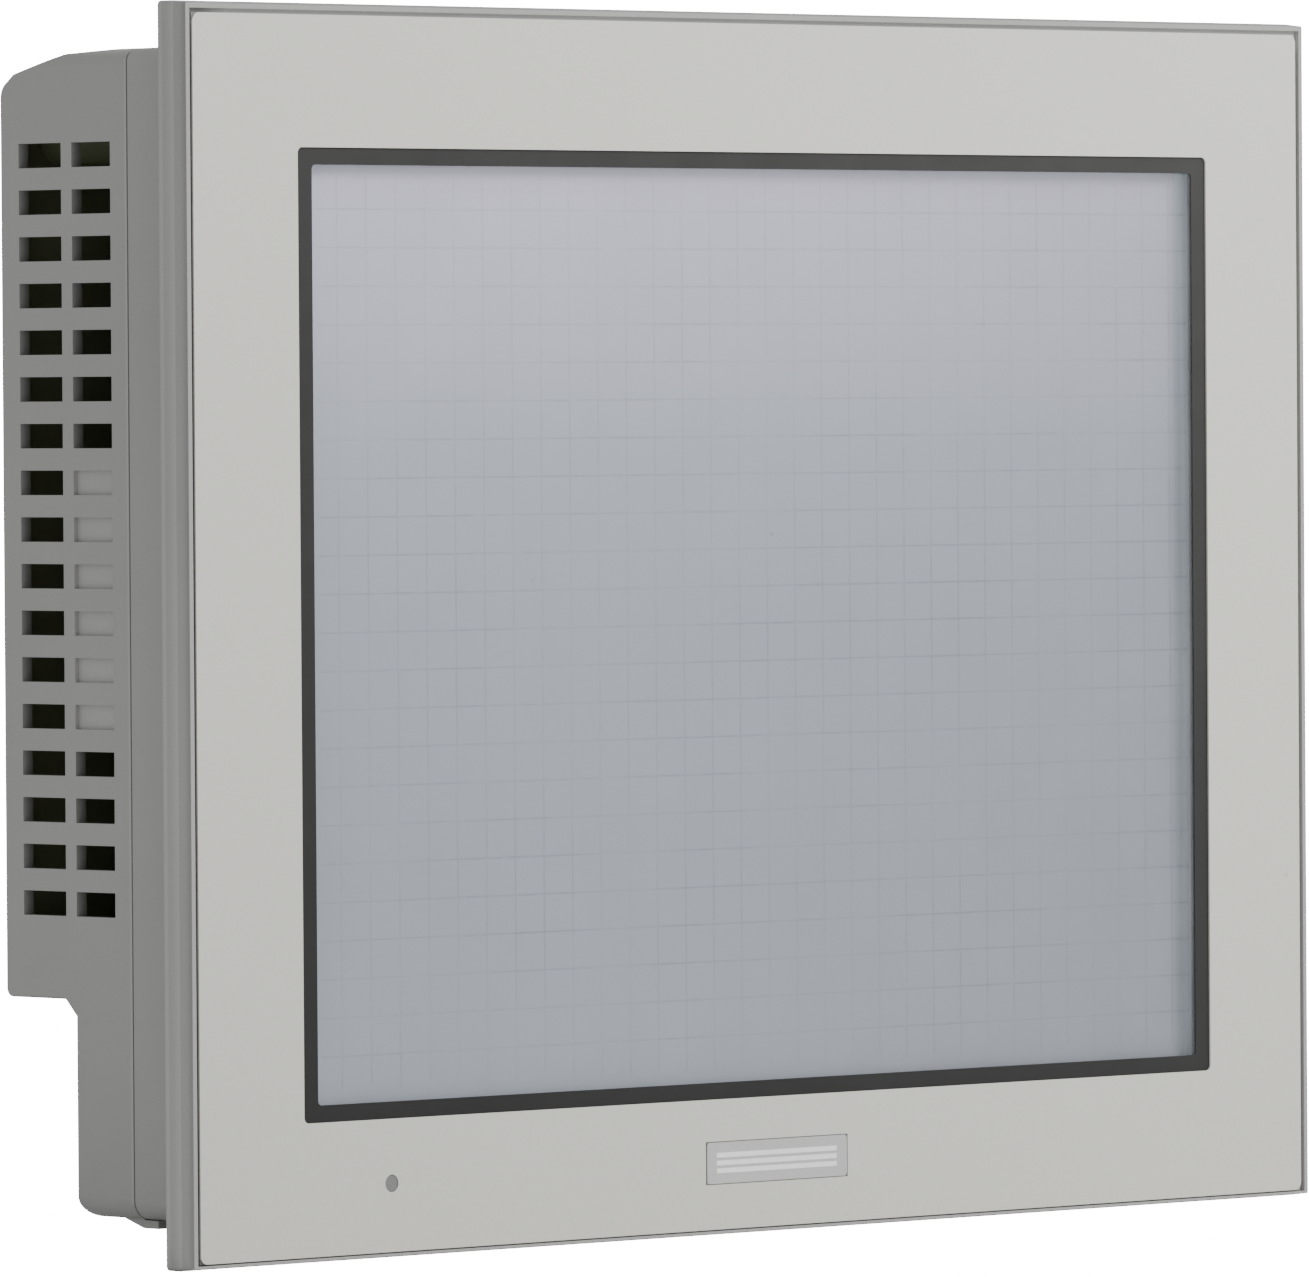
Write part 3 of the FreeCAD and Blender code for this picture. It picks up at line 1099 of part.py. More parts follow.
def draw_d_outline(sketch, x, inset):
    """The trapezium of a nine-way connector's mouth, wide on the side nearer the front."""
    half, deep = f"(com_mouth_width / 2 - {inset})", f"(com_mouth_depth / 2 - {inset})"
    narrow = f"({half} - com_taper * {deep})"
    draw_polygon(sketch, [(f"{x} - {half}", f"row_y - {deep}"), (f"{x} + {half}", f"row_y - {deep}"),
                          (f"{x} + {narrow}", f"row_y + {deep}"), (f"{x} - {narrow}", f"row_y + {deep}")])


def serial_shell(doc, number):
    """The metal flange and D-shaped mouth of one serial connector."""
    x = com_x(number)
    body = new_body(doc, f"com{number + 1}_shell")
    sketch = new_sketch(body, "XY_Plane", STEP_INSIDE)
    draw_rectangle(sketch, *centred(x, "com_flange_width"), *centred("row_y", "com_flange_depth"))
    add(body, sketch, "com_flange_thick")
    sketch = new_sketch(body, "XY_Plane", COM_LOW)
    draw_d_outline(sketch, x, "0")
    add(body, sketch, f"{STEP_INSIDE} - {COM_LOW}")
    sketch = new_sketch(body, "XY_Plane", COM_LOW)
    draw_d_outline(sketch, x, "com_metal")
    cut(body, sketch, f"{FLANGE_TOP} - {COM_LOW}")
    sketch = new_sketch(body, "XY_Plane", STEP_INSIDE)
    for side in SIDES:
        draw_circle(sketch, f"{x} + {side} * jack_spacing / 2", "row_y", "jack_thread")
    cut(body, sketch, "com_flange_thick")
    return body


def serial_insulator(doc, number):
    """The insulator behind one serial connector's flange, with a foot on the board."""
    x = com_x(number)
    top = f"({FLANGE_TOP} + com_core_high)"
    core = block(doc, f"com_core_{number}", centred(x, "com_core_width"),
                 (BOARD_BACK, "row_y + com_mouth_depth / 2"), (FLANGE_TOP, top))
    foot = block(doc, f"com_foot_{number}", centred(x, "com_foot_width"),
                 (BOARD_BACK, f"{BOARD_BACK} + com_foot_thick"), (f"{FLANGE_TOP} + com_foot_lift", top))
    return joined(doc, f"com{number + 1}_insulator", [core, foot])


def serial_pins(doc, number):
    """Nine pins in two rows."""
    pins = []
    low = f"({COM_LOW} + com_pin_short)"
    for row, (count, side) in enumerate(COM_ROWS):
        for place in range(count):
            x = f"{com_x(number)} + com_pin_pitch * ({place} - {(count - 1) / 2})"
            start = (x, f"row_y + {side} * com_row_offset", low)
            pins.append(rod(doc, f"com{number}_pin_{row}_{place}", "z", start, f"{FLANGE_TOP} - {low}",
                            "com_pin_across"))
    return group(doc, f"com{number + 1}_pins", pins)


def jackscrews(doc):
    """Hexagonal threaded posts beside each serial connector, their shanks through wall and flange."""
    posts = []
    low = "(step_under - jack_length)"
    for number, x in enumerate(jack_places()):
        head = hexagon(doc, f"jack_head_{number}", (x, "row_y", low), "jack_length",
                       "jack_across * 2 / sqrt(3)")
        shank = rod(doc, f"jack_shank_{number}", "z", (x, "row_y", "step_under"), "jack_shank",
                    "jack_thread")
        bore = rod(doc, f"jack_bore_{number}", "z", (x, "row_y", f"{low} - {OVER}"),
                   f"jack_bore_depth + {OVER}", "jack_bore")
        posts.append(without(doc, f"jackscrew_{number}", joined(doc, f"jack_whole_{number}", [head, shank]),
                             [bore]))
    return group(doc, "com_jackscrews", posts)


def serial_connectors(doc):
    """Two nine-way serial connectors, each with a shell, an insulator, pins and locking posts."""
    numbers = range(COM_PORTS)
    shells = [serial_shell(doc, number) for number in numbers]
    insulators = [serial_insulator(doc, number) for number in numbers]
    pins = [serial_pins(doc, number) for number in numbers]
    return [group(doc, "com_shells", shells), group(doc, "com_insulators", insulators),
            group(doc, "com_pins", pins), jackscrews(doc)]


def network_jack(doc):
    """An eight-way network jack facing down, with its spring contacts."""
    low = "(step_under - lan_proud)"
    reach = (f"{low} - {OVER}", f"{low} + lan_mouth_reach")
    shell = block(doc, "lan_shell", centred("lan_at_x", "lan_width"), centred(LAN_Y, "lan_depth"),
                  (low, f"{low} + lan_height"))
    mouth = block(doc, "lan_mouth", centred("lan_at_x", "lan_mouth_width"),
                  centred(LAN_Y, "lan_mouth_depth"), reach)
    latch_front = f"{LAN_Y} + lan_mouth_depth / 2"
    latch = block(doc, "lan_latch", centred("lan_at_x", "lan_latch_width"),
                  (f"{latch_front} - {OVERLAP}", f"{latch_front} + lan_latch_depth"), reach)
    jack = without(doc, "lan_jack", shell, [joined(doc, "lan_hollow", [mouth, latch])])
    front = f"({LAN_Y} - lan_mouth_depth / 2)"
    middle = (LAN_CONTACTS - 1) / 2
    contacts = [block(doc, f"lan_contact_{number}",
                      centred(f"lan_at_x + lan_contact_pitch * ({number} - {middle})", "lan_contact_width"),
                      (front, f"{front} + lan_contact_thick"), (f"{low} + lan_contact_lift", reach[1]))
                for number in range(LAN_CONTACTS)]
    return [jack, group(doc, "lan_contacts", contacts)]


def usb_ports(doc):
    """Two open metal shells facing down, each with a tongue."""
    shells, tongues = [], []
    low = "(step_under - usb_proud)"
    inner = f"{low} + usb_length - usb_base"
    for number in range(USB_PORTS):
        x = usb_x(number)
        outside = block(doc, f"usb_outside_{number}", centred(x, "usb_width"),
                        centred("row_y", "usb_depth"),
                        (low, f"{low} + usb_length"))
        hollow = block(doc, f"usb_hollow_{number}", centred(x, "(usb_width - 2 * usb_metal)"),
                       centred("row_y", "(usb_depth - 2 * usb_metal)"), (f"{low} - {OVER}", inner))
        foot = block(doc, f"usb_foot_{number}", centred(x, "usb_width"), (BOARD_BACK, "row_y"),
                     (STEP_INSIDE, f"{low} + usb_length"))
        whole = joined(doc, f"usb_whole_{number}", [outside, foot])
        shells.append(without(doc, f"usb_shell_{number}", whole, [hollow]))
        tongues.append(block(doc, f"usb_tongue_{number}", centred(x, "usb_tongue_width"),
                             ("row_y - usb_tongue_front", "row_y - usb_tongue_back"),
                             (f"{low} + usb_tongue_lift", inner)))
    return [group(doc, "usb_shells", shells), group(doc, "usb_tongues", tongues)]


def power_header(doc, low, places):
    """The header that faces down from the step, with three square pins."""
    outside = block(doc, "power_header_outside", centred("power_at_x", "power_width"),
                    centred(POWER_Y, "power_depth"), (low, f"{low} + power_height"))
    hollow = block(doc, "power_header_hollow", centred("power_at_x", "(power_width - 2 * power_wall)"),
                   centred(POWER_Y, "(power_depth - 2 * power_wall)"),
                   (f"{low} - {OVER}", f"{low} + power_hollow"))
    pins = [block(doc, f"power_pin_{number}", centred(x, "power_pin"), centred(POWER_Y, "power_pin"),
                  (f"{low} + power_pin_lift", f"{low} + power_hollow"))
            for number, x in enumerate(places)]
    return [without(doc, "power_socket", outside, [hollow]), group(doc, "power_pins", pins)]


def power_plug(doc, low, places):
    """The pull-off plug: a nose in the header, a grip below it, and three screw terminals."""
    slimmer = "2 * (power_wall + power_play)"
    nose = block(doc, "power_plug_nose", centred("power_at_x", f"(power_width - {slimmer})"),
                 centred(POWER_Y, f"(power_depth - {slimmer})"),
                 (f"{low} - plug_gap - {OVERLAP}", f"{low} + power_hollow - power_play"))
    grip = block(doc, "power_plug_grip", centred("power_at_x", "power_width"),
                 (f"{POWER_Y} - plug_front", f"{POWER_Y} + plug_back"),
                 (f"{low} - plug_length", f"{low} - plug_gap"))
    cavities = []
    for number, x in enumerate(places):
        cavities.append(block(doc, f"power_bore_{number}", centred(x, "plug_bore"),
                              centred(POWER_Y, "plug_bore"),
                              (f"{low} + plug_bore_lift", f"{low} + power_hollow + {OVER}")))
        cavities.append(rod(doc, f"power_screw_hole_{number}", "y",
                            (x, f"{POWER_Y} + terminal_start", f"{low} - terminal_drop"),
                            f"plug_back - terminal_start + {OVER}", "terminal_bore"))
        cavities.append(block(doc, f"power_wire_hole_{number}", centred(x, "wire_hole_width"),
                              centred(f"({POWER_Y} - wire_hole_offset)", "wire_hole_depth"),
                              (f"{low} - plug_length - {OVER}", f"{low} - plug_length + wire_hole_reach")))
    plug = without(doc, "power_plug", joined(doc, "power_plug_whole", [nose, grip]), cavities)
    screws = [small_screw(doc, f"terminal_screw_{number}", x, f"{low} - terminal_drop",
                          f"{POWER_Y} + terminal_seat", "terminal_bite", "terminal_thread", "terminal_head",
                          "terminal_high")
              for number, x in enumerate(places)]
    return [plug, group(doc, "power_plug_screws", screws)]


def power_input(doc):
    """The power header and its pull-off plug."""
    low = "(step_under - power_proud)"
    places = [f"power_at_x + {place} * power_pitch" for place in POWER_WAYS]
    return power_header(doc, low, places) + power_plug(doc, low, places)


# ---- card bay ------------------------------------------------------------------------------------

def card_door(doc):
    """A door hinged along its front edge on a pin held in the cover's side wall."""
    body = new_body(doc, "card_door")
    low, high = "bay_low + door_play", "bay_high - door_play"
    sketch = new_sketch(body, "XY_Plane", low)
    draw_circle(sketch, "hinge_x", "hinge_y", "door_thick")
    add(body, sketch, f"{high} - ({low})")
    sketch = new_sketch(body, "XY_Plane", low)
    draw_rectangle(sketch, "hinge_x - door_thick / 2", "hinge_x + door_thick / 2", "hinge_y",
                   "bay_back - door_play")
    add(body, sketch, f"{high} - ({low})")
    sketch = new_sketch(body, "XY_Plane", low)
    draw_circle(sketch, "hinge_x", "hinge_y", "pin_across + 2 * hinge_play")
    cut(body, sketch, f"{high} - ({low})")
    pin = rod(doc, "card_door_pin", "z", ("hinge_x", "hinge_y", "bay_low - pin_reach"),
              "bay_high - bay_low + 2 * pin_reach", "pin_across")
    return [body, pin]


def card_slot(doc):
    """The card guide on the board, open towards the door, with its eject button."""
    low = "card_at_z - card_width / 2 - slot_margin_low"
    high = "card_at_z + card_width / 2 + slot_margin_high"
    guide = block(doc, "card_guide", ("slot_face_x - slot_length", "slot_face_x"),
                  (BOARD_BACK, "card_at_y + card_thick / 2 + slot_roof"), (low, high))
    mouth = block(doc, "card_mouth", ("slot_face_x - slot_reach", f"slot_face_x + {OVER}"),
                  centred("card_at_y", "card_thick"), centred("card_at_z", "card_width"))
    bore = block(doc, "eject_bore", ("slot_face_x - eject_bore_reach", f"slot_face_x + {OVER}"),
                 centred("card_at_y", "eject_bore_thick"), centred("eject_at_z", "eject_bore_width"))
    button = block(doc, "card_eject_button", ("slot_face_x - eject_reach", "slot_face_x + eject_proud"),
                   centred("card_at_y", "eject_thick"), centred("eject_at_z", "eject_width"))
    return [without(doc, "card_slot", guide, [mouth, bore]), button]


def slide_switch(doc):
    """A four-way slide switch beside the card slot; each slider travels along Y."""
    middle = f"({BOARD_BACK} + dip_high / 2)"
    body = block(doc, "dip_housing", ("slot_face_x - dip_depth", "slot_face_x"),
                 (BOARD_BACK, f"{BOARD_BACK} + dip_high"),
                 centred("dip_at_z", f"({DIP_WAYS} * dip_pitch + dip_margin)"))
    slots, sliders = [], []
    for number in range(DIP_WAYS):
        z = f"(dip_at_z + dip_pitch * ({number} - {(DIP_WAYS - 1) / 2}))"
        slots.append(block(doc, f"dip_slot_{number}",
                           ("slot_face_x - dip_slot_reach", f"slot_face_x + {OVER}"),
                           centred(middle, "dip_slot_length"), centred(z, "dip_slot_width")))
        sliders.append(block(doc, f"dip_slider_{number + 1}", ("slot_face_x - dip_knob_reach",
                                                               "slot_face_x + dip_knob_proud"),
                             (f"{middle} - dip_travel - dip_play", f"{middle} - dip_play"),
                             centred(z, "dip_knob_width")))
    return [without(doc, "dip_switch_body", body, slots), *sliders]


BUILDERS = (front_frame, panel_gasket, overlay, status_lamp, touch_panel, touch_tail, display_module,
            display_cable, chassis, main_board, processor_parts, board_parts, inverter, rear_cover,
            expansion_cover, rating_label, serial_connectors, network_jack, usb_ports, power_input,
            card_door, card_slot, slide_switch)


def check_and_export(doc, parts):
    """Stops on any failed object or bad shape, then writes one file per sub-part."""
    doc.recompute()
    failed = [item.Label for item in doc.Objects if {"Invalid", "Error"} & set(item.State)]
    if failed:
        raise RuntimeError(f"failed objects: {failed}")
    os.makedirs("parts", exist_ok=True)
    for part in parts:
        if part.Shape.isNull() or not part.Shape.isValid() or part.Shape.Volume <= 0:
            raise RuntimeError(f"{part.Label}: bad shape")
    for part in parts:
        part.Shape.exportStep(f"parts/{part.Label}.step")
    print(len(parts), "sub-parts")


def main():
    """Builds every sub-part and exports it."""
    doc = FreeCAD.newDocument("touch_terminal")
    make_sheet(doc)
    parts = []
    for builder in BUILDERS:
        parts += builder(doc)
    check_and_export(doc, parts)


main()
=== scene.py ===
import math

import bpy
from mathutils import Matrix, Vector


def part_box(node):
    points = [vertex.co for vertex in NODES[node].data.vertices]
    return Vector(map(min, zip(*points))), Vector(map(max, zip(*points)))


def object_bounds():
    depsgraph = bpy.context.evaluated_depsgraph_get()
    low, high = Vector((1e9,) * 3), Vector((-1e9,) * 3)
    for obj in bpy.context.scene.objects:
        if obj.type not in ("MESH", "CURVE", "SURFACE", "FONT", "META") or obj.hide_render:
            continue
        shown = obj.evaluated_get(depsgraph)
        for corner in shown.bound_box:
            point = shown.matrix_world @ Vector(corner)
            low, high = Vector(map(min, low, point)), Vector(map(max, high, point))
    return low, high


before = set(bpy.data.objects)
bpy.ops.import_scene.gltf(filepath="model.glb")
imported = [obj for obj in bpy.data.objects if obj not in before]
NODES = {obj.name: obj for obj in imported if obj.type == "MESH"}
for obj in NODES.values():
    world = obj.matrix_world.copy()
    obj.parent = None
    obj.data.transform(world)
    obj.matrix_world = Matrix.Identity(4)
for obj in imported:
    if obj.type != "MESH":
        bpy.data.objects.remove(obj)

# The looks of a panel-mounted touch terminal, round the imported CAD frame. Metres and radians.
# +X is right seen from the front, +Y into the cabinet, +Z up; y = 0 is the bezel's rear face.

MM = 0.001
CAD_LOW, CAD_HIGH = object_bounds()


# ---- node graph helpers --------------------------------------------------------------------------

# Nearly all of a noise's values lie between these.
NOISE_LOW, NOISE_HIGH = 0.3, 0.7
EVEN = (1, 1, 1)


class Graph:
    """A material's node tree with short calls for the nodes used here."""

    def __init__(self, name):
        """Makes the material. Its patterns go by the place in the object's frame, which is the CAD frame."""
        self.material = bpy.data.materials.new(name)
        self.material.use_nodes = True
        self.tree = self.material.node_tree
        self.shader = self.tree.nodes["Principled BSDF"]
        self.output = self.tree.nodes["Material Output"]
        self.place = self.tree.nodes.new("ShaderNodeTexCoord").outputs["Object"]

    def feed(self, socket, value):
        """Links an output to a socket, or sets the socket to a number, vector or colour."""
        if isinstance(value, bpy.types.NodeSocket):
            self.tree.links.new(value, socket)
        elif isinstance(value, tuple) and socket.type == "RGBA":
            socket.default_value = (*value, 1)
        else:
            socket.default_value = value

    def add(self, kind, **inputs):
        """A new node of a kind with its named inputs fed; an underscore stands for a space."""
        node = self.tree.nodes.new("ShaderNode" + kind)
        for name, value in inputs.items():
            self.feed(node.inputs[name.replace("_", " ")], value)
        return node

    def set(self, **inputs):
        """Feeds the shader's own named inputs; an underscore stands for a space."""
        for name, value in inputs.items():
            self.feed(self.shader.inputs[name.replace("_", " ")], value)

    def noise(self, size, detail=2.0, roughness=0.5, stretch=EVEN):
        """Noise whose features are about size metres across."""
        place = self.place
        if stretch != EVEN:
            place = self.add("Mapping", Scale=stretch, Vector=place).outputs["Vector"]
        node = self.add("TexNoise", Scale=1 / size, Detail=detail, Roughness=roughness, Vector=place)
        return node.outputs["Fac"]

    def cells(self, apart):
        """A node of scattered points about apart metres from each other, with their Distance and Color."""
        return self.add("TexVoronoi", Scale=1 / apart, Vector=self.place)

    def specks(self, apart, strength, inner, outer):
        """Rare specks that fade from strength to nought between two radii, in units of apart."""
        return self.ramp(self.cells(apart).outputs["Distance"], strength, 0, inner, outer)

    def ramp(self, source, low, high, start=0.0, end=1.0):
        """Maps start..end of a value to low..high, clamped."""
        node = self.add("MapRange", Value=source, From_Min=start, From_Max=end, To_Min=low, To_Max=high)
        return node.outputs["Result"]

    def uneven(self, source, low, high):
        """Maps the usual values of a noise to low..high."""
        return self.ramp(source, low, high, NOISE_LOW, NOISE_HIGH)

    def math(self, operation, first, second=0.0):
        """One arithmetic step on numbers or links."""
        node = self.add("Math")
        node.operation = operation
        self.feed(node.inputs[0], first)
        self.feed(node.inputs[1], second)
        return node.outputs[0]

    def mix(self, factor, first, second):
        """A colour between two colours or links."""
        node = self.add("Mix")
        node.data_type = "RGBA"
        colours = [socket for socket in node.inputs if socket.type == "RGBA"]
        for socket, value in zip((node.inputs[0], *colours), (factor, first, second)):
            self.feed(socket, value)
        return next(socket for socket in node.outputs if socket.type == "RGBA")

    def axis(self, name):
        """The X, Y or Z of the place, in metres."""
        return self.add("SeparateXYZ", Vector=self.place).outputs[name]

    def away(self, name):
        """The distance from the middle plane across an axis, in metres."""
        return self.math("ABSOLUTE", self.axis(name))

    def within(self, **ranges):
        """One where every named axis (or its distance from the middle, as aX) is in range, else nought."""
        inside = None
        for name, (low, high) in ranges.items():
            place = self.away(name[1]) if name[0] == "a" else self.axis(name)
            for operation, limit in (("GREATER_THAN", low), ("LESS_THAN", high)):
                side = self.math(operation, place, limit)
                inside = side if inside is None else self.math("MULTIPLY", inside, side)
        return inside

    def profile(self, source, stops):
        """A factor that follows (millimetres, factor) stops along a source, in straight pieces."""
        start, end = stops[0][0], stops[-1][0]
        top = max(factor for _, factor in stops)
        node = self.add("ValToRGB", Fac=self.ramp(source, 0, 1, start * MM, end * MM))
        elements = node.color_ramp.elements
        for element in list(elements)[1:]:
            elements.remove(element)
        for number, (place, factor) in enumerate(stops):
            position = (place - start) / (end - start)
            element = elements[0] if number == 0 else elements.new(position)
            element.position = position
            element.color = (factor / top, factor / top, factor / top, 1)
        return self.math("MULTIPLY", node.outputs["Color"], top)

    def choose(self, mask, outside, inside):
        """One number where the mask is nought and another where it is one."""
        return self.math("ADD", self.math("MULTIPLY", self.math("SUBTRACT", 1.0, mask), outside),
                         self.math("MULTIPLY", mask, inside))

    def scaled(self, colour, factor):
        """A colour times a factor, which is a number or a colour."""
        node = self.add("VectorMath")
        node.operation = "MULTIPLY"
        self.feed(node.inputs[0], colour)
        self.feed(node.inputs[1], factor)
        return node.outputs[0]

    def bump(self, height, depth, strength=1.0):
        """A bump whose height value of one stands depth metres high."""
        node = self.add("Bump", Strength=strength, Distance=depth, Height=height)
        self.set(Normal=node.outputs["Normal"])


def shade(colour, factor):
    """A darker or paler shade of a colour."""
    return tuple(channel * factor for channel in colour)


# ---- materials -----------------------------------------------------------------------------------

def moulded(name, colour, roughness=0.5, grain=0.35 * MM, depth=0.012 * MM, mottle=0.05, shading=None,
            specular=0.4):
    """Moulded plastic: a spark-eroded grain, slow colour drift, rare specks, faint scuffs, uneven gloss."""
    pit_shade, speck_shade, scuff_shade, scuff_roughness = 0.86, 0.4, 1.35, 0.4
    graph = Graph(name)
    drift = graph.uneven(graph.noise(30 * MM, detail=3), 0, 1)
    base = graph.mix(drift, shade(colour, 1 - mottle), shade(colour, 1 + mottle))
    fine = graph.noise(grain, detail=3, roughness=0.6)
    pits = graph.ramp(fine, low=0, high=0.5, start=0.35, end=0.7)
    base = graph.mix(pits, base, shade(colour, pit_shade))
    specks = graph.specks(apart=17 * MM, strength=0.3, inner=0.008, outer=0.02)
    base = graph.mix(specks, base, shade(colour, speck_shade))
    streaks = graph.noise(2.5 * MM, detail=4, roughness=0.6, stretch=(1, 6, 0.5))
    scuffs = graph.ramp(streaks, low=0, high=0.22, start=0.66, end=0.74)
    base = graph.mix(scuffs, base, shade(colour, scuff_shade))
    gloss = graph.uneven(graph.noise(6 * MM, detail=3), roughness - 0.06, roughness + 0.08)
    graph.set(Base_Color=graph.scaled(base, shading(graph)) if shading else base,
              Roughness=graph.math("ADD", gloss, graph.math("MULTIPLY", scuffs, scuff_roughness)),
              Specular_IOR_Level=specular)
    graph.bump(fine, depth, strength=0.5)
    return graph.material


def metal(name, colour, roughness=0.3, brushed=EVEN, grain=0.25 * MM):
    """Bare or plated metal with a drawn or rolled grain and faint stains."""
    stain_shade = 0.82
    graph = Graph(name)
    stain = graph.ramp(graph.noise(12 * MM, detail=4), low=0, high=1, start=0.35, end=0.7)
    lines = graph.noise(grain, stretch=brushed)
    graph.set(Base_Color=graph.mix(stain, shade(colour, stain_shade), colour),
              Roughness=graph.uneven(lines, roughness - 0.08, roughness + 0.14), Metallic=1.0)
    graph.bump(lines, 0.004 * MM, strength=0.4)
    return graph.material


def rubber(name, colour):
    """Matt rubber with a fine uneven skin."""
    hollow_shade, high_shade = 0.8, 1.4
    graph = Graph(name)
    fine = graph.noise(0.3 * MM, detail=4, roughness=0.7)
    graph.set(Base_Color=graph.mix(graph.uneven(fine, 0, 1), shade(colour, hollow_shade),
                                   shade(colour, high_shade)),
              Roughness=graph.uneven(graph.noise(4 * MM, detail=3), 0.75, 0.9))
    graph.bump(fine, 0.03 * MM, strength=0.6)
    return graph.material


def board_mask(name, colour):
    """Solder mask over copper traces: patches of narrow bands along Z or along X, and bare patches."""
    pitch, band, upright_share, bare_share, trace_shade = 1.27 * MM, 0.4, 0.5, 0.35, 2.1
    graph = Graph(name)
    bands = [graph.math("LESS_THAN", graph.math("FRACT", graph.math("DIVIDE", graph.axis(name), pitch)), band)
             for name in "XZ"]
    patch = graph.add("SeparateColor", Color=graph.cells(16 * MM).outputs["Color"])
    upright = graph.math("GREATER_THAN", patch.outputs[0], upright_share)
    covered = graph.math("GREATER_THAN", patch.outputs[1], bare_share)
    first = graph.math("MULTIPLY", bands[0], upright)
    second = graph.math("MULTIPLY", bands[1], graph.math("SUBTRACT", 1.0, upright))
    traces = graph.math("MULTIPLY", graph.math("ADD", first, second), covered)
    graph.set(Base_Color=graph.mix(traces, colour, shade(colour, trace_shade)),
              Roughness=graph.uneven(graph.noise(3 * MM), 0.25, 0.4))
    graph.bump(traces, 0.03 * MM, strength=0.8)
    return graph.material


def clear_sheet(name, haze, gloss_roughness, lines=None):
    """A clear film or glass: mostly see-through, with a faint haze, finger smears and a soft reflection."""
    clear_tint, haze_colour = (0.985, 0.99, 0.995), (0.62, 0.64, 0.68)
    line_colour, line_full = (0.12, 0.13, 0.15), 0.02
    graph = Graph(name)
    smear = graph.uneven(graph.noise(18 * MM, detail=4), 0.8, 1.2)
    graph.set(Base_Color=haze_colour, Specular_IOR_Level=0.5,
              Roughness=graph.math("MULTIPLY", smear, gloss_roughness))
    amount = graph.math("MULTIPLY", smear, haze)
    if lines:
        faint = lines(graph)
        amount = graph.math("ADD", amount, faint)
        graph.set(Base_Color=graph.mix(graph.ramp(faint, 0, 1, 0, line_full), haze_colour, line_colour))
    graph.bump(graph.noise(0.25 * MM), 0.002 * MM, strength=0.3)
    clear = graph.add("BsdfTransparent", Color=clear_tint)
    blend = graph.add("MixShader")
    for socket, value in zip(blend.inputs, (amount, clear.outputs[0], graph.shader.outputs[0])):
        graph.feed(socket, value)
    graph.feed(graph.output.inputs["Surface"], blend.outputs[0])
    return graph.material


def printed_sheet(name, colour, roughness=0.5):
    """A printed overlay film: fine mottled ink, a leather-fine emboss, rare dark specks, and painted shade
    that makes it darker low down.
    """
    dark_ink, pale_ink, slow_ink, speck_shade = 0.965, 1.03, 0.975, 0.3
    bottom, top, half_height = 0.94, 1.06, 104 * MM
    graph = Graph(name)
    fine = graph.noise(0.55 * MM, detail=3, roughness=0.6)
    ink = graph.mix(graph.uneven(fine, 0, 1), shade(colour, dark_ink), shade(colour, pale_ink))
    slow = graph.uneven(graph.noise(45 * MM, detail=3), 0, 0.5)
    ink = graph.mix(slow, ink, shade(colour, slow_ink))
    specks = graph.specks(apart=26 * MM, strength=0.3, inner=0.012, outer=0.026)
    ink = graph.mix(specks, ink, shade(colour, speck_shade))
    # Painted shade: the sheet is darker low down and paler at the top.
    painted_shade = graph.ramp(graph.axis("Z"), bottom, top, start=-half_height, end=half_height)
    graph.set(Base_Color=graph.scaled(ink, painted_shade),
              Roughness=graph.uneven(graph.noise(8 * MM, detail=3), roughness - 0.04, roughness + 0.06))
    graph.bump(fine, 0.008 * MM, strength=0.5)
    return graph.material


def inset_box(graph, low, high, inset, spare=0.0):
    """A mask of a rectangle seen along Y, less an inset all round and a spare width at its +X side."""
    return graph.within(X=(low.x + inset, high.x - inset - spare), Z=(low.z + inset, high.z - inset))


def printed_label(name, colour):
    """A rating label without lettering: a thin frame, plain grey rows and a block of upright bars."""
    low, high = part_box("rating_label")
    margin, line, inset, row_pitch, row_share = 1.5 * MM, 0.25 * MM, 5 * MM, 4.5 * MM, 0.22
    bars_wide, bars_high, bars_low = 24 * MM, 10 * MM, 8 * MM
    paper_shade, ink_colour = 0.94, (0.05, 0.05, 0.055)
    graph = Graph(name)
    rim = graph.math("SUBTRACT", inset_box(graph, low, high, margin),
                     inset_box(graph, low, high, margin + line))
    row = graph.math("FRACT", graph.math("DIVIDE", graph.axis("Z"), row_pitch))
    rows = graph.math("MULTIPLY", graph.math("LESS_THAN", row, row_share),
                      inset_box(graph, low, high, inset, spare=bars_wide + inset))
    stripes = graph.math("GREATER_THAN", graph.noise(1.1 * MM, detail=0, stretch=(1, 0, 0)), 0.5)
    block = graph.within(X=(high.x - inset - bars_wide, high.x - inset),
                         Z=(low.z + bars_low, low.z + bars_low + bars_high))
    ink = graph.math("MAXIMUM", rim, graph.math("MAXIMUM", rows, graph.math("MULTIPLY", stripes, block)))
    fade = graph.ramp(graph.noise(5 * MM, detail=3), low=0.75, high=1.0, start=0.3, end=0.6)
    paper = graph.mix(graph.uneven(graph.noise(12 * MM, detail=3), 0, 1), shade(colour, paper_shade), colour)
    graph.set(Base_Color=graph.mix(graph.math("MULTIPLY", ink, fade), paper, ink_colour),
              Roughness=graph.uneven(graph.noise(4 * MM), 0.3, 0.42))
    graph.bump(graph.noise(0.5 * MM), 0.004 * MM, strength=0.4)
    return graph.material


# ---- the display window --------------------------------------------------------------------------

MATRIX_PITCH = (6.7 * MM, 6.5 * MM)
MATRIX_LINE = 0.32 * MM
MATRIX_HALF = (105 * MM, 77 * MM)


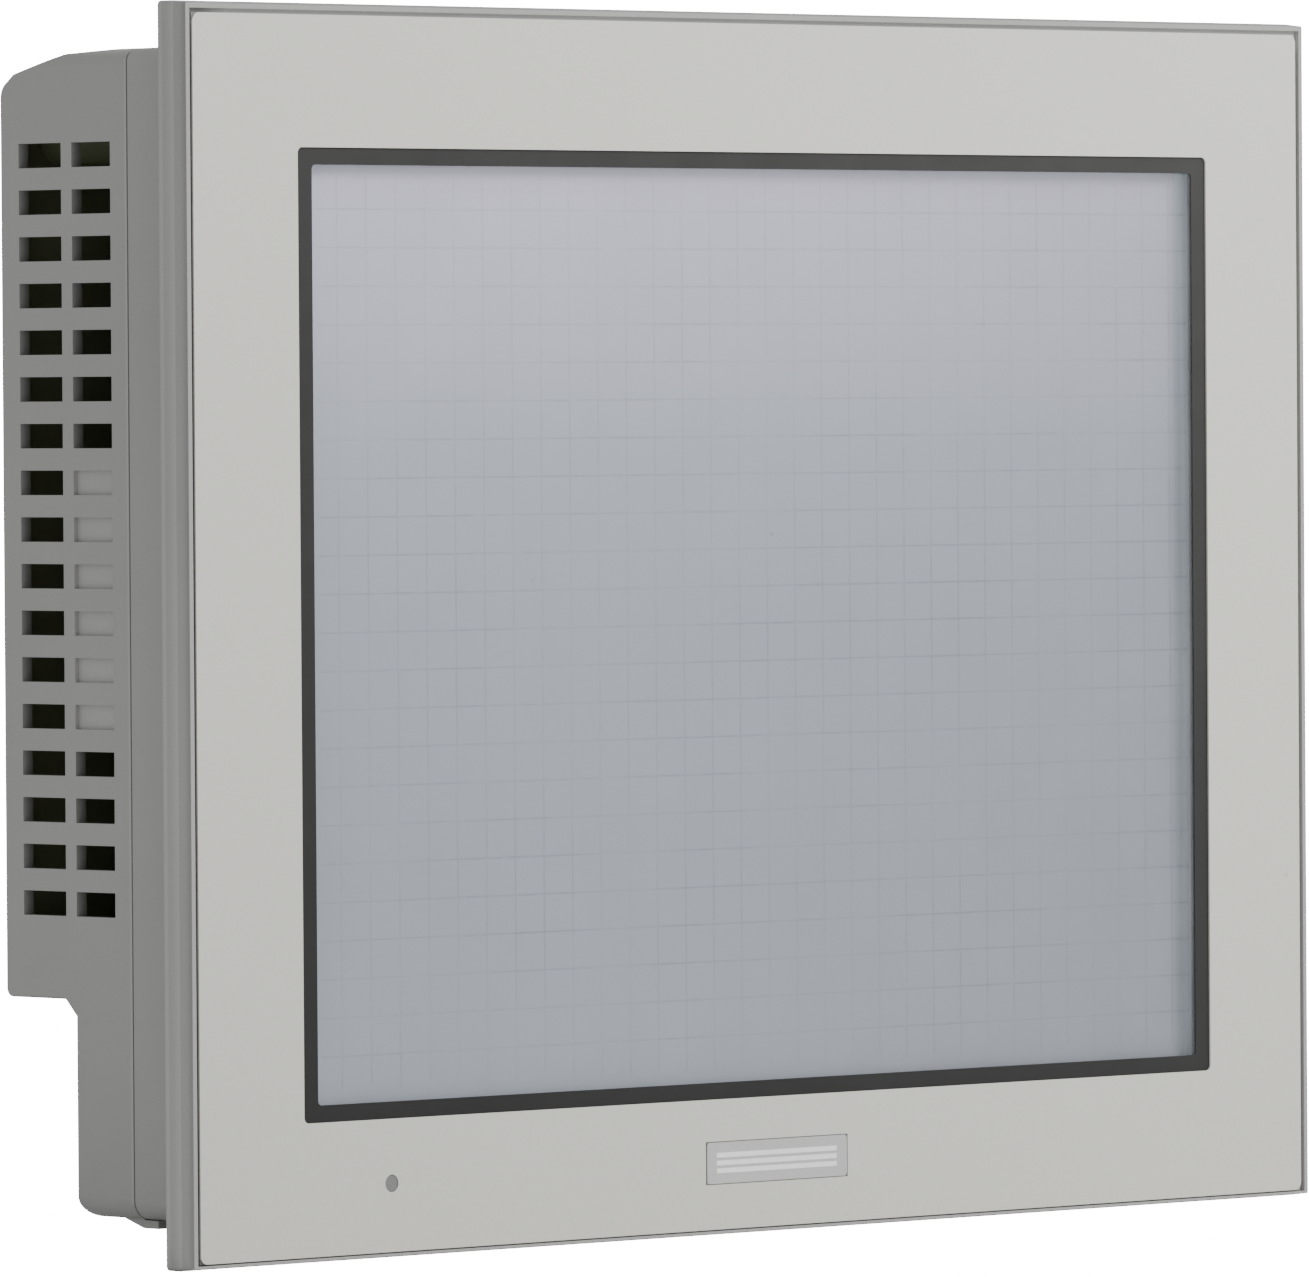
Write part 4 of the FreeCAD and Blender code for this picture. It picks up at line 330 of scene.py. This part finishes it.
def matrix_lines(graph):
    """The touch matrix: straight faint lines each way, uneven in strength."""
    full, gone = 0.25, 0.75
    total = None
    for name, pitch in zip("XZ", MATRIX_PITCH):
        phase = graph.math("FRACT", graph.math("ADD", graph.math("DIVIDE", graph.axis(name), pitch), 0.5))
        away = graph.math("ABSOLUTE", graph.math("SUBTRACT", phase, 0.5))
        line = graph.ramp(away, 1, 0, start=full * MATRIX_LINE / pitch, end=gone * MATRIX_LINE / pitch)
        total = line if total is None else graph.math("MAXIMUM", total, line)
    patchy = graph.ramp(graph.noise(30 * MM, detail=3), low=0.010, high=0.030, start=0.38, end=0.68)
    broken = graph.ramp(graph.noise(1.1 * MM), low=0.4, high=1, start=0.35, end=0.6)
    active = graph.within(aX=(0, MATRIX_HALF[0]), aZ=(0, MATRIX_HALF[1]))
    strength = graph.math("MULTIPLY", patchy, broken)
    return graph.math("MULTIPLY", active, graph.math("MULTIPLY", total, strength))


# Painted light and shade on the display: how it brightens towards its top and its left, and the painted
# light that makes up for the shade that the window's top and right edges throw on it, as (millimetres,
# factor).
DISPLAY_PAINTED_LIGHT_UP = ((-80, 0.42), (-76, 0.40), (-40, 0.395), (0, 0.432), (30, 0.50), (50, 0.638), (66, 0.74),
              (75, 0.79), (77, 0.98), (80, 1.3))
DISPLAY_PAINTED_LIGHT_ACROSS = ((-108, 1.0), (-50, 0.99), (0, 0.92), (50, 0.83), (104.9, 0.71), (105.7, 1.0),
                  (106.2, 1.34), (106.6, 1.64), (107.1, 2.0), (107.5, 2.3), (109, 2.6))
# The palest that the painted light may make the face.
DISPLAY_PALEST = 0.95
# The colour at the top, low down, and in the band right of the active area; where the first two change.
TINT_TOP = (1.0, 0.93, 1.09)
TINT_LOW = (1.0, 1.065, 1.19)
TINT_EDGE = (0.93, 1.05, 1.16)
TINT_CHANGE = (15 * MM, 78 * MM)
ACTIVE_EDGE = 104.9 * MM
# Where the face turns dark at its left and right ends.
DARK_EDGE = (108.7 * MM, 109.2 * MM)


def display_face(name):
    """The polariser: blue grey, with painted light at the upper left and along its top and right edges, dark
    at its two ends, with a few specks.
    """
    pale, speck, outside = (0.6, 0.62, 0.68), (0.15, 0.16, 0.18), (0.07, 0.075, 0.085)
    graph = Graph(name)
    across, up = graph.axis("X"), graph.axis("Z")
    base = graph.mix(graph.ramp(up, 0, 1, *TINT_CHANGE), TINT_LOW, TINT_TOP)
    base = graph.mix(graph.math("GREATER_THAN", across, ACTIVE_EDGE), base, TINT_EDGE)
    # Painted light and shade from the two profiles.
    factor = graph.math("MULTIPLY", graph.profile(up, DISPLAY_PAINTED_LIGHT_UP), graph.profile(across, DISPLAY_PAINTED_LIGHT_ACROSS))
    base = graph.scaled(base, graph.math("MINIMUM", factor, DISPLAY_PALEST))
    soft = graph.ramp(graph.noise(60 * MM), low=0, high=0.06, start=0.35, end=0.65)
    base = graph.mix(soft, base, pale)
    base = graph.mix(graph.specks(apart=14 * MM, strength=0.35, inner=0.012, outer=0.04), base, speck)
    base = graph.mix(graph.ramp(graph.away("X"), 0, 1, *DARK_EDGE), base, outside)
    graph.set(Base_Color=base, Roughness=graph.uneven(graph.noise(20 * MM), 0.42, 0.5))
    graph.bump(graph.noise(0.2 * MM), 0.002 * MM, strength=0.3)
    return graph.material


# ---- shading of single pieces --------------------------------------------------------------------

# Further than any point of the object, in metres.
FAR = 1

# Painted shade on the bezel's edge, darker from its rear, with a painted highlight line and ridge, as
# (millimetres, factor).
BEZEL_EDGE_PAINTED_LIGHT = ((-6.5, 0.74), (-6.1, 0.76), (-5.5, 0.90), (-4.9, 0.98), (-3.9, 0.99), (-3.6, 1.20),
              (-2.4, 1.06), (-1.3, 1.0), (-0.8, 1.16), (-0.4, 1.16), (0.0, 1.0))
# How thick a band along the bezel's outline takes the edge's profile, and where it ends along Y.
EDGE_BAND = 0.55 * MM
EDGE_REAR = 0.05 * MM
# The groove round the front sheet: how far from the middle it reaches (across, up), and from where to where
# along Y.
GROOVE_TO = (134.3 * MM, 105.35 * MM)
GROOVE_DEPTH = (-6.3 * MM, -4 * MM)


def bezel_shading(graph):
    """Painted shade and highlights: the bezel's outer edge gets a painted profile; the groove gets painted
    shade, dark at the left and pale at the top.
    """
    outer = graph.math("MAXIMUM", graph.within(aX=(CAD_HIGH.x - EDGE_BAND, FAR), Y=(-FAR, EDGE_REAR)),
                       graph.within(aZ=(CAD_HIGH.z - EDGE_BAND, FAR), Y=(-FAR, EDGE_REAR)))
    groove = graph.within(Y=GROOVE_DEPTH, aX=(0, GROOVE_TO[0]), aZ=(0, GROOVE_TO[1]))
    # Painted shade in the groove: darker at the left, paler at the top.
    depth = graph.math("MULTIPLY", graph.ramp(graph.axis("X"), 0.5, 1.0, start=-131 * MM, end=-125 * MM),
                       graph.ramp(graph.axis("Z"), 1.0, 1.3, start=100 * MM, end=103 * MM))
    return graph.choose(outer, graph.choose(groove, 1.0, depth), graph.profile(graph.axis("Y"), BEZEL_EDGE_PAINTED_LIGHT))


# The rear cover: its side, its back above and below the step, and its wall.
SIDE_OUT, COVER_BACK, STEP_BACK, COVER_WALL = 127.7 * MM, 49.5 * MM, 31.1 * MM, 2.2 * MM
SIDE_IN = SIDE_OUT - COVER_WALL
# How far a region reaches past the surface that it has to hold.
PAST = 0.05 * MM
# The cover's hollow, deep above the step and shallow over nearly the whole height; the vents in the side
# walls and the closed ones in the left wall; the thin edge beside the seam.
DEEP_HOLLOW = {"aX": (0, SIDE_IN + PAST), "Y": (0, COVER_BACK - COVER_WALL + PAST),
               "Z": (-59.75 * MM, 93.65 * MM)}
SHALLOW_HOLLOW = {"aX": (0, SIDE_IN + PAST), "Y": (0, STEP_BACK - COVER_WALL + PAST),
                  "Z": (-96.65 * MM, 96.05 * MM)}
VENTS = {"aX": (SIDE_IN, SIDE_OUT), "Y": (20.9 * MM, 44.7 * MM), "aZ": (0, 84 * MM)}
CLOSED_VENTS = {"X": (-SIDE_OUT, -126.8 * MM), "Y": (20.9 * MM, 31 * MM), "Z": (-16.3 * MM, 27.8 * MM)}
SEAM_LIP = {"aX": (SIDE_OUT - 0.1 * MM, FAR), "Y": (0, 17.3 * MM)}
# Painted shade of the vents' walls, deep and at the mouth; the closed vents painted paler; a painted
# highlight on the seam's edge.
VENT_DEEP_SHADE, VENT_MOUTH_SHADE, CLOSED_SHADE, SEAM_HIGHLIGHT_GAIN = 0.42, 0.98, 1.13, 0.15
# Painted shade in the cover's hollow: darker and yellower.
HOLLOW_SHADE = (0.58, 0.62, 0.36)


def cover_shading(graph):
    """Painted shade: the cover's inside is darker and yellower, and the vents' walls darken inwards; the
    closed vents are painted paler; a painted highlight makes the seam's edge pale.
    """
    hollow = graph.math("MAXIMUM", graph.within(**DEEP_HOLLOW), graph.within(**SHALLOW_HOLLOW))
    # Painted shade: the vents' walls darken inwards.
    wall = graph.ramp(graph.away("X"), VENT_DEEP_SHADE, VENT_MOUTH_SHADE, SIDE_IN, SIDE_OUT)
    # A painted highlight on the thin edge beside the seam.
    seam_highlight = graph.math("ADD", 1.0, graph.math("MULTIPLY", graph.within(**SEAM_LIP), SEAM_HIGHLIGHT_GAIN))
    # The closed vents are painted paler.
    vent = graph.choose(graph.within(**CLOSED_VENTS), wall, CLOSED_SHADE)
    return graph.mix(hollow, graph.choose(graph.within(**VENTS), seam_highlight, vent), HOLLOW_SHADE)


def border_shading(graph):
    """Painted shade: the border is darker towards the bottom and the left."""
    return graph.math("MULTIPLY", graph.ramp(graph.axis("Z"), 0.7, 1.25, start=-82 * MM, end=80 * MM),
                      graph.ramp(graph.axis("X"), 0.85, 1.1, start=-110 * MM, end=110 * MM))


def badge_shading(graph):
    """Three plain white stripes across the badge, and a painted shadow line along its left edge."""
    pitch, half_stripe, inset, edge_line = 1.35 * MM, 0.42 * MM, 2.5 * MM, 0.25 * MM
    stripe_gain, edge_shade = 1.85, 0.3
    low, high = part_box("badge_plate")
    middle = (low + high) / 2
    stripes = None
    for number in (-1, 0, 1):
        level = middle.z + number * pitch
        stripe = graph.within(X=(low.x + inset, high.x - inset), Z=(level - half_stripe, level + half_stripe))
        stripes = stripe if stripes is None else graph.math("MAXIMUM", stripes, stripe)
    # A painted shadow along the badge's left edge.
    edge = graph.within(X=(low.x - MM, low.x + edge_line))
    return graph.choose(edge, graph.choose(stripes, 1.0, stripe_gain), edge_shade)


def lamp_shading(graph):
    """Painted shade: the lamp's lens is darker towards its rim."""
    rim_shade, rim_start, rim_end = 0.7, 0.7, 0.97
    low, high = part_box("status_lamp_lens")
    middle, radius = (low + high) / 2, (high.x - low.x) / 2
    across = graph.math("SUBTRACT", graph.axis("X"), middle.x)
    up = graph.math("SUBTRACT", graph.axis("Z"), middle.z)
    squares = graph.math("ADD", graph.math("MULTIPLY", across, across), graph.math("MULTIPLY", up, up))
    return graph.ramp(graph.math("SQRT", squares), 1.0, rim_shade, rim_start * radius, rim_end * radius)


# ---- which node shows which material -------------------------------------------------------------

# Linear colours.
CASE = (0.38, 0.38, 0.372)
SHEET = (0.66, 0.655, 0.60)
BADGE = (0.50, 0.51, 0.495)
BORDER = (0.036, 0.036, 0.035)
RUBBER = (0.02, 0.02, 0.02)
LENS = (0.20, 0.20, 0.195)
STEEL = (0.58, 0.58, 0.57)
PLATED = (0.66, 0.65, 0.62)
ANODISED = (0.06, 0.06, 0.065)
GOLD = (0.83, 0.62, 0.25)
CHIP = (0.022, 0.022, 0.023)
CONNECTOR = (0.03, 0.03, 0.031)
TERMINAL = (0.03, 0.20, 0.075)
SHELL = (0.62, 0.62, 0.6)
MASK = (0.012, 0.09, 0.04)
BUTTON = (0.55, 0.55, 0.53)
FLEX = (0.42, 0.2, 0.045)
DISPLAY_FRAME = (0.07, 0.072, 0.078)
GUIDE = (0.8, 0.83, 0.86)
LABEL = (0.66, 0.66, 0.64)

CASE_ROUGHNESS, CASE_MOTTLE = 0.52, 0.03
ROLLED, DRAWN = (1, 1, 14), (1, 1, 10)


def case_plastic(name, shading=None):
    """The grey that the front frame, the rear cover, the card door and the small cover are moulded in."""
    return moulded(name, CASE, CASE_ROUGHNESS, mottle=CASE_MOTTLE, shading=shading)


def outer_materials():
    """The nodes that show from outside, by material."""
    smooth = {"grain": 0.2 * MM, "depth": 0.004 * MM}
    return {
        case_plastic("case_grey"): "expansion_cover card_door",
        case_plastic("bezel_grey", bezel_shading): "front_frame",
        case_plastic("cover_grey", cover_shading): "rear_cover",
        printed_sheet("sheet_grey", SHEET): "front_sheet",
        moulded("badge_grey", BADGE, 0.45, grain=0.5 * MM, shading=badge_shading): "badge_plate",
        moulded("border_dark", BORDER, 0.4, grain=0.3 * MM, depth=0.004 * MM, mottle=0.08,
                shading=border_shading, specular=0.2): "window_border",
        rubber("seal_rubber", RUBBER): "panel_gasket touch_dust_seal",
        moulded("lamp_lens", LENS, 0.25, **smooth, shading=lamp_shading): "status_lamp_lens",
        clear_sheet("clear_film", haze=0.07, gloss_roughness=0.22, lines=matrix_lines): "touch_film",
        clear_sheet("touch_glass", haze=0.03, gloss_roughness=0.08): "touch_glass",
        display_face("cell_grey"): "lcd_cell",
        moulded("connector_green", TERMINAL, 0.42, mottle=0.06): "power_socket power_plug",
        printed_label("label_white", LABEL): "rating_label",
    }


def inner_materials():
    """The metal parts, and the nodes inside, in the connectors or in the card bay, by material."""
    return {
        metal("steel_plate", STEEL, 0.32, ROLLED): "chassis_plate com_shells usb_shells lan_jack",
        metal("plated_steel", PLATED, 0.26):
            "chassis_screws cover_posts rear_cover_screws board_standoffs board_screws "
            "expansion_cover_screws com_jackscrews card_door_pin power_plug_screws backup_battery",
        metal("aluminium_black", ANODISED, 0.4, DRAWN): "heat_sink",
        metal("contact_gold", GOLD, 0.22): "com_pins lan_contacts power_pins",
        moulded("shell_white", SHELL, 0.5): "touch_spacer lcd_rear_shell",
        moulded("flex_film", FLEX, 0.3, grain=0.4 * MM): "touch_tail display_cable",
        moulded("frame_black", DISPLAY_FRAME, 0.4, mottle=0.1): "lcd_frame",
        moulded("clear_guide", GUIDE, 0.15): "lcd_light_guide backlight_lamps",
        board_mask("board_green", MASK): "main_board inverter_board",
        moulded("chip_black", CHIP, 0.42, mottle=0.15):
            "processor memory_chips buzzer inverter_transformer capacitors",
        moulded("connector_black", CONNECTOR, 0.38, mottle=0.1):
            "battery_holder expansion_connector com_insulators usb_tongues card_slot dip_switch_body",
        moulded("button_grey", BUTTON, 0.4):
            "card_eject_button dip_slider_1 dip_slider_2 dip_slider_3 dip_slider_4",
    }


def dress_nodes():
    """Gives every CAD node its material."""
    for material, names in {**outer_materials(), **inner_materials()}.items():
        for name in names.split():
            for material_slot in NODES[name].material_slots:
                material_slot.material = material


# The pieces whose sharp edges are rounded, and by how much, in millimetres.
EDGE_RADII = {
    "front_frame": 0.12, "rear_cover": 0.15, "card_door": 0.15, "expansion_cover": 0.2, "badge_plate": 0.06,
    "power_plug": 0.2, "power_socket": 0.15, "lan_jack": 0.1, "card_eject_button": 0.2,
}
WELD_DISTANCE = 0.002 * MM
SHARP_ANGLE = math.radians(35)
ROUND_SEGMENTS = 2


def soften_edges():
    """Small rounds on the sharp edges of some pieces, as modifiers."""
    for name, radius in EDGE_RADII.items():
        piece = NODES[name]
        weld = piece.modifiers.new("weld", "WELD")
        weld.merge_threshold = WELD_DISTANCE
        bevel = piece.modifiers.new("edge", "BEVEL")
        bevel.width = radius * MM
        bevel.segments = ROUND_SEGMENTS
        bevel.limit_method = "ANGLE"
        bevel.angle_limit = SHARP_ANGLE
        bevel.use_clamp_overlap = True
        bevel.harden_normals = False


# ---- stage, light and camera ---------------------------------------------------------------------

# The white studio: how bright it lights, and how bright the camera sees its backdrop and floor.
FILL_LIGHT = 0.6
BACKDROP_LIGHT = 18.0
FLOOR_GLOW = 17.0
FLOOR_HALF = 30.0
FLOOR_WHITE = (0.85, 0.85, 0.85)
WHITE = (1, 1, 1)

KEY_PLACE = (0.5, -0.7, 0.65)
KEY_SIZE = 0.6
KEY_POWER = 12


def make_floor():
    """A pale floor that the bezel's lower edge stands on."""
    mesh = bpy.data.meshes.new("floor")
    corners = [(x * FLOOR_HALF, y * FLOOR_HALF, CAD_LOW.z) for x, y in ((-1, -1), (1, -1), (1, 1), (-1, 1))]
    mesh.from_pydata(corners, [], [(0, 1, 2, 3)])
    floor = bpy.data.objects.new("floor", mesh)
    bpy.context.scene.collection.objects.link(floor)
    graph = Graph("floor_white")
    seen = graph.add("LightPath").outputs["Is Camera Ray"]
    graph.set(Base_Color=FLOOR_WHITE, Roughness=0.9, Emission_Color=WHITE,
              Emission_Strength=graph.ramp(seen, 0, FLOOR_GLOW))
    mesh.materials.append(graph.material)


def make_world():
    """A white studio: softer for the light that it gives than for the backdrop that the camera sees."""
    world = bpy.data.worlds.new("studio")
    world.use_nodes = True
    tree = world.node_tree
    background = tree.nodes["Background"]
    background.inputs["Color"].default_value = (*WHITE, 1)
    path = tree.nodes.new("ShaderNodeLightPath")
    strength = tree.nodes.new("ShaderNodeMapRange")
    strength.inputs["To Min"].default_value = FILL_LIGHT
    strength.inputs["To Max"].default_value = BACKDROP_LIGHT
    tree.links.new(path.outputs["Is Camera Ray"], strength.inputs["Value"])
    tree.links.new(strength.outputs["Result"], background.inputs["Strength"])
    bpy.context.scene.world = world


def make_key_light():
    """A soft box above and to the right of the front, turned to the object's origin."""
    light = bpy.data.lights.new("key", "AREA")
    light.shape = "RECTANGLE"
    light.size = light.size_y = KEY_SIZE
    light.energy = KEY_POWER
    lamp = bpy.data.objects.new("key", light)
    lamp.location = KEY_PLACE
    lamp.rotation_mode = "QUATERNION"
    lamp.rotation_quaternion = (-Vector(KEY_PLACE)).to_track_quat("-Z", "Y")
    bpy.context.scene.collection.objects.link(lamp)


# The camera, solved from the object's own edges: far away, with a long lens and almost level.
CAMERA_PLACE = (-1.5483, -1.6069, 0.0400)
CAMERA_YAW, CAMERA_PITCH, CAMERA_ROLL = (math.radians(angle) for angle in (43.455, -1.208, -0.374))
CAMERA_LENS, CAMERA_SENSOR = 351.9, 36.0
CAMERA_SHIFT = (0.0130, 0.0193)
CAMERA_CLIP = (0.05, 200)


def make_camera():
    """The camera, from its place, turn, tilt and roll."""
    forward = Vector((math.sin(CAMERA_YAW) * math.cos(CAMERA_PITCH),
                      math.cos(CAMERA_YAW) * math.cos(CAMERA_PITCH), math.sin(CAMERA_PITCH)))
    level = Vector((math.cos(CAMERA_YAW), -math.sin(CAMERA_YAW), 0))
    upright = level.cross(forward)
    right = math.cos(CAMERA_ROLL) * level + math.sin(CAMERA_ROLL) * upright
    up = -math.sin(CAMERA_ROLL) * level + math.cos(CAMERA_ROLL) * upright
    data = bpy.data.cameras.new("camera")
    data.lens, data.sensor_width = CAMERA_LENS, CAMERA_SENSOR
    data.shift_x, data.shift_y = CAMERA_SHIFT
    data.clip_start, data.clip_end = CAMERA_CLIP
    camera = bpy.data.objects.new("camera", data)
    rotation = Matrix((right, up, -forward)).transposed().to_4x4()
    camera.matrix_world = Matrix.Translation(CAMERA_PLACE) @ rotation
    bpy.context.scene.collection.objects.link(camera)
    bpy.context.scene.camera = camera


make_camera()
make_floor()
make_world()
make_key_light()
dress_nodes()
soften_edges()
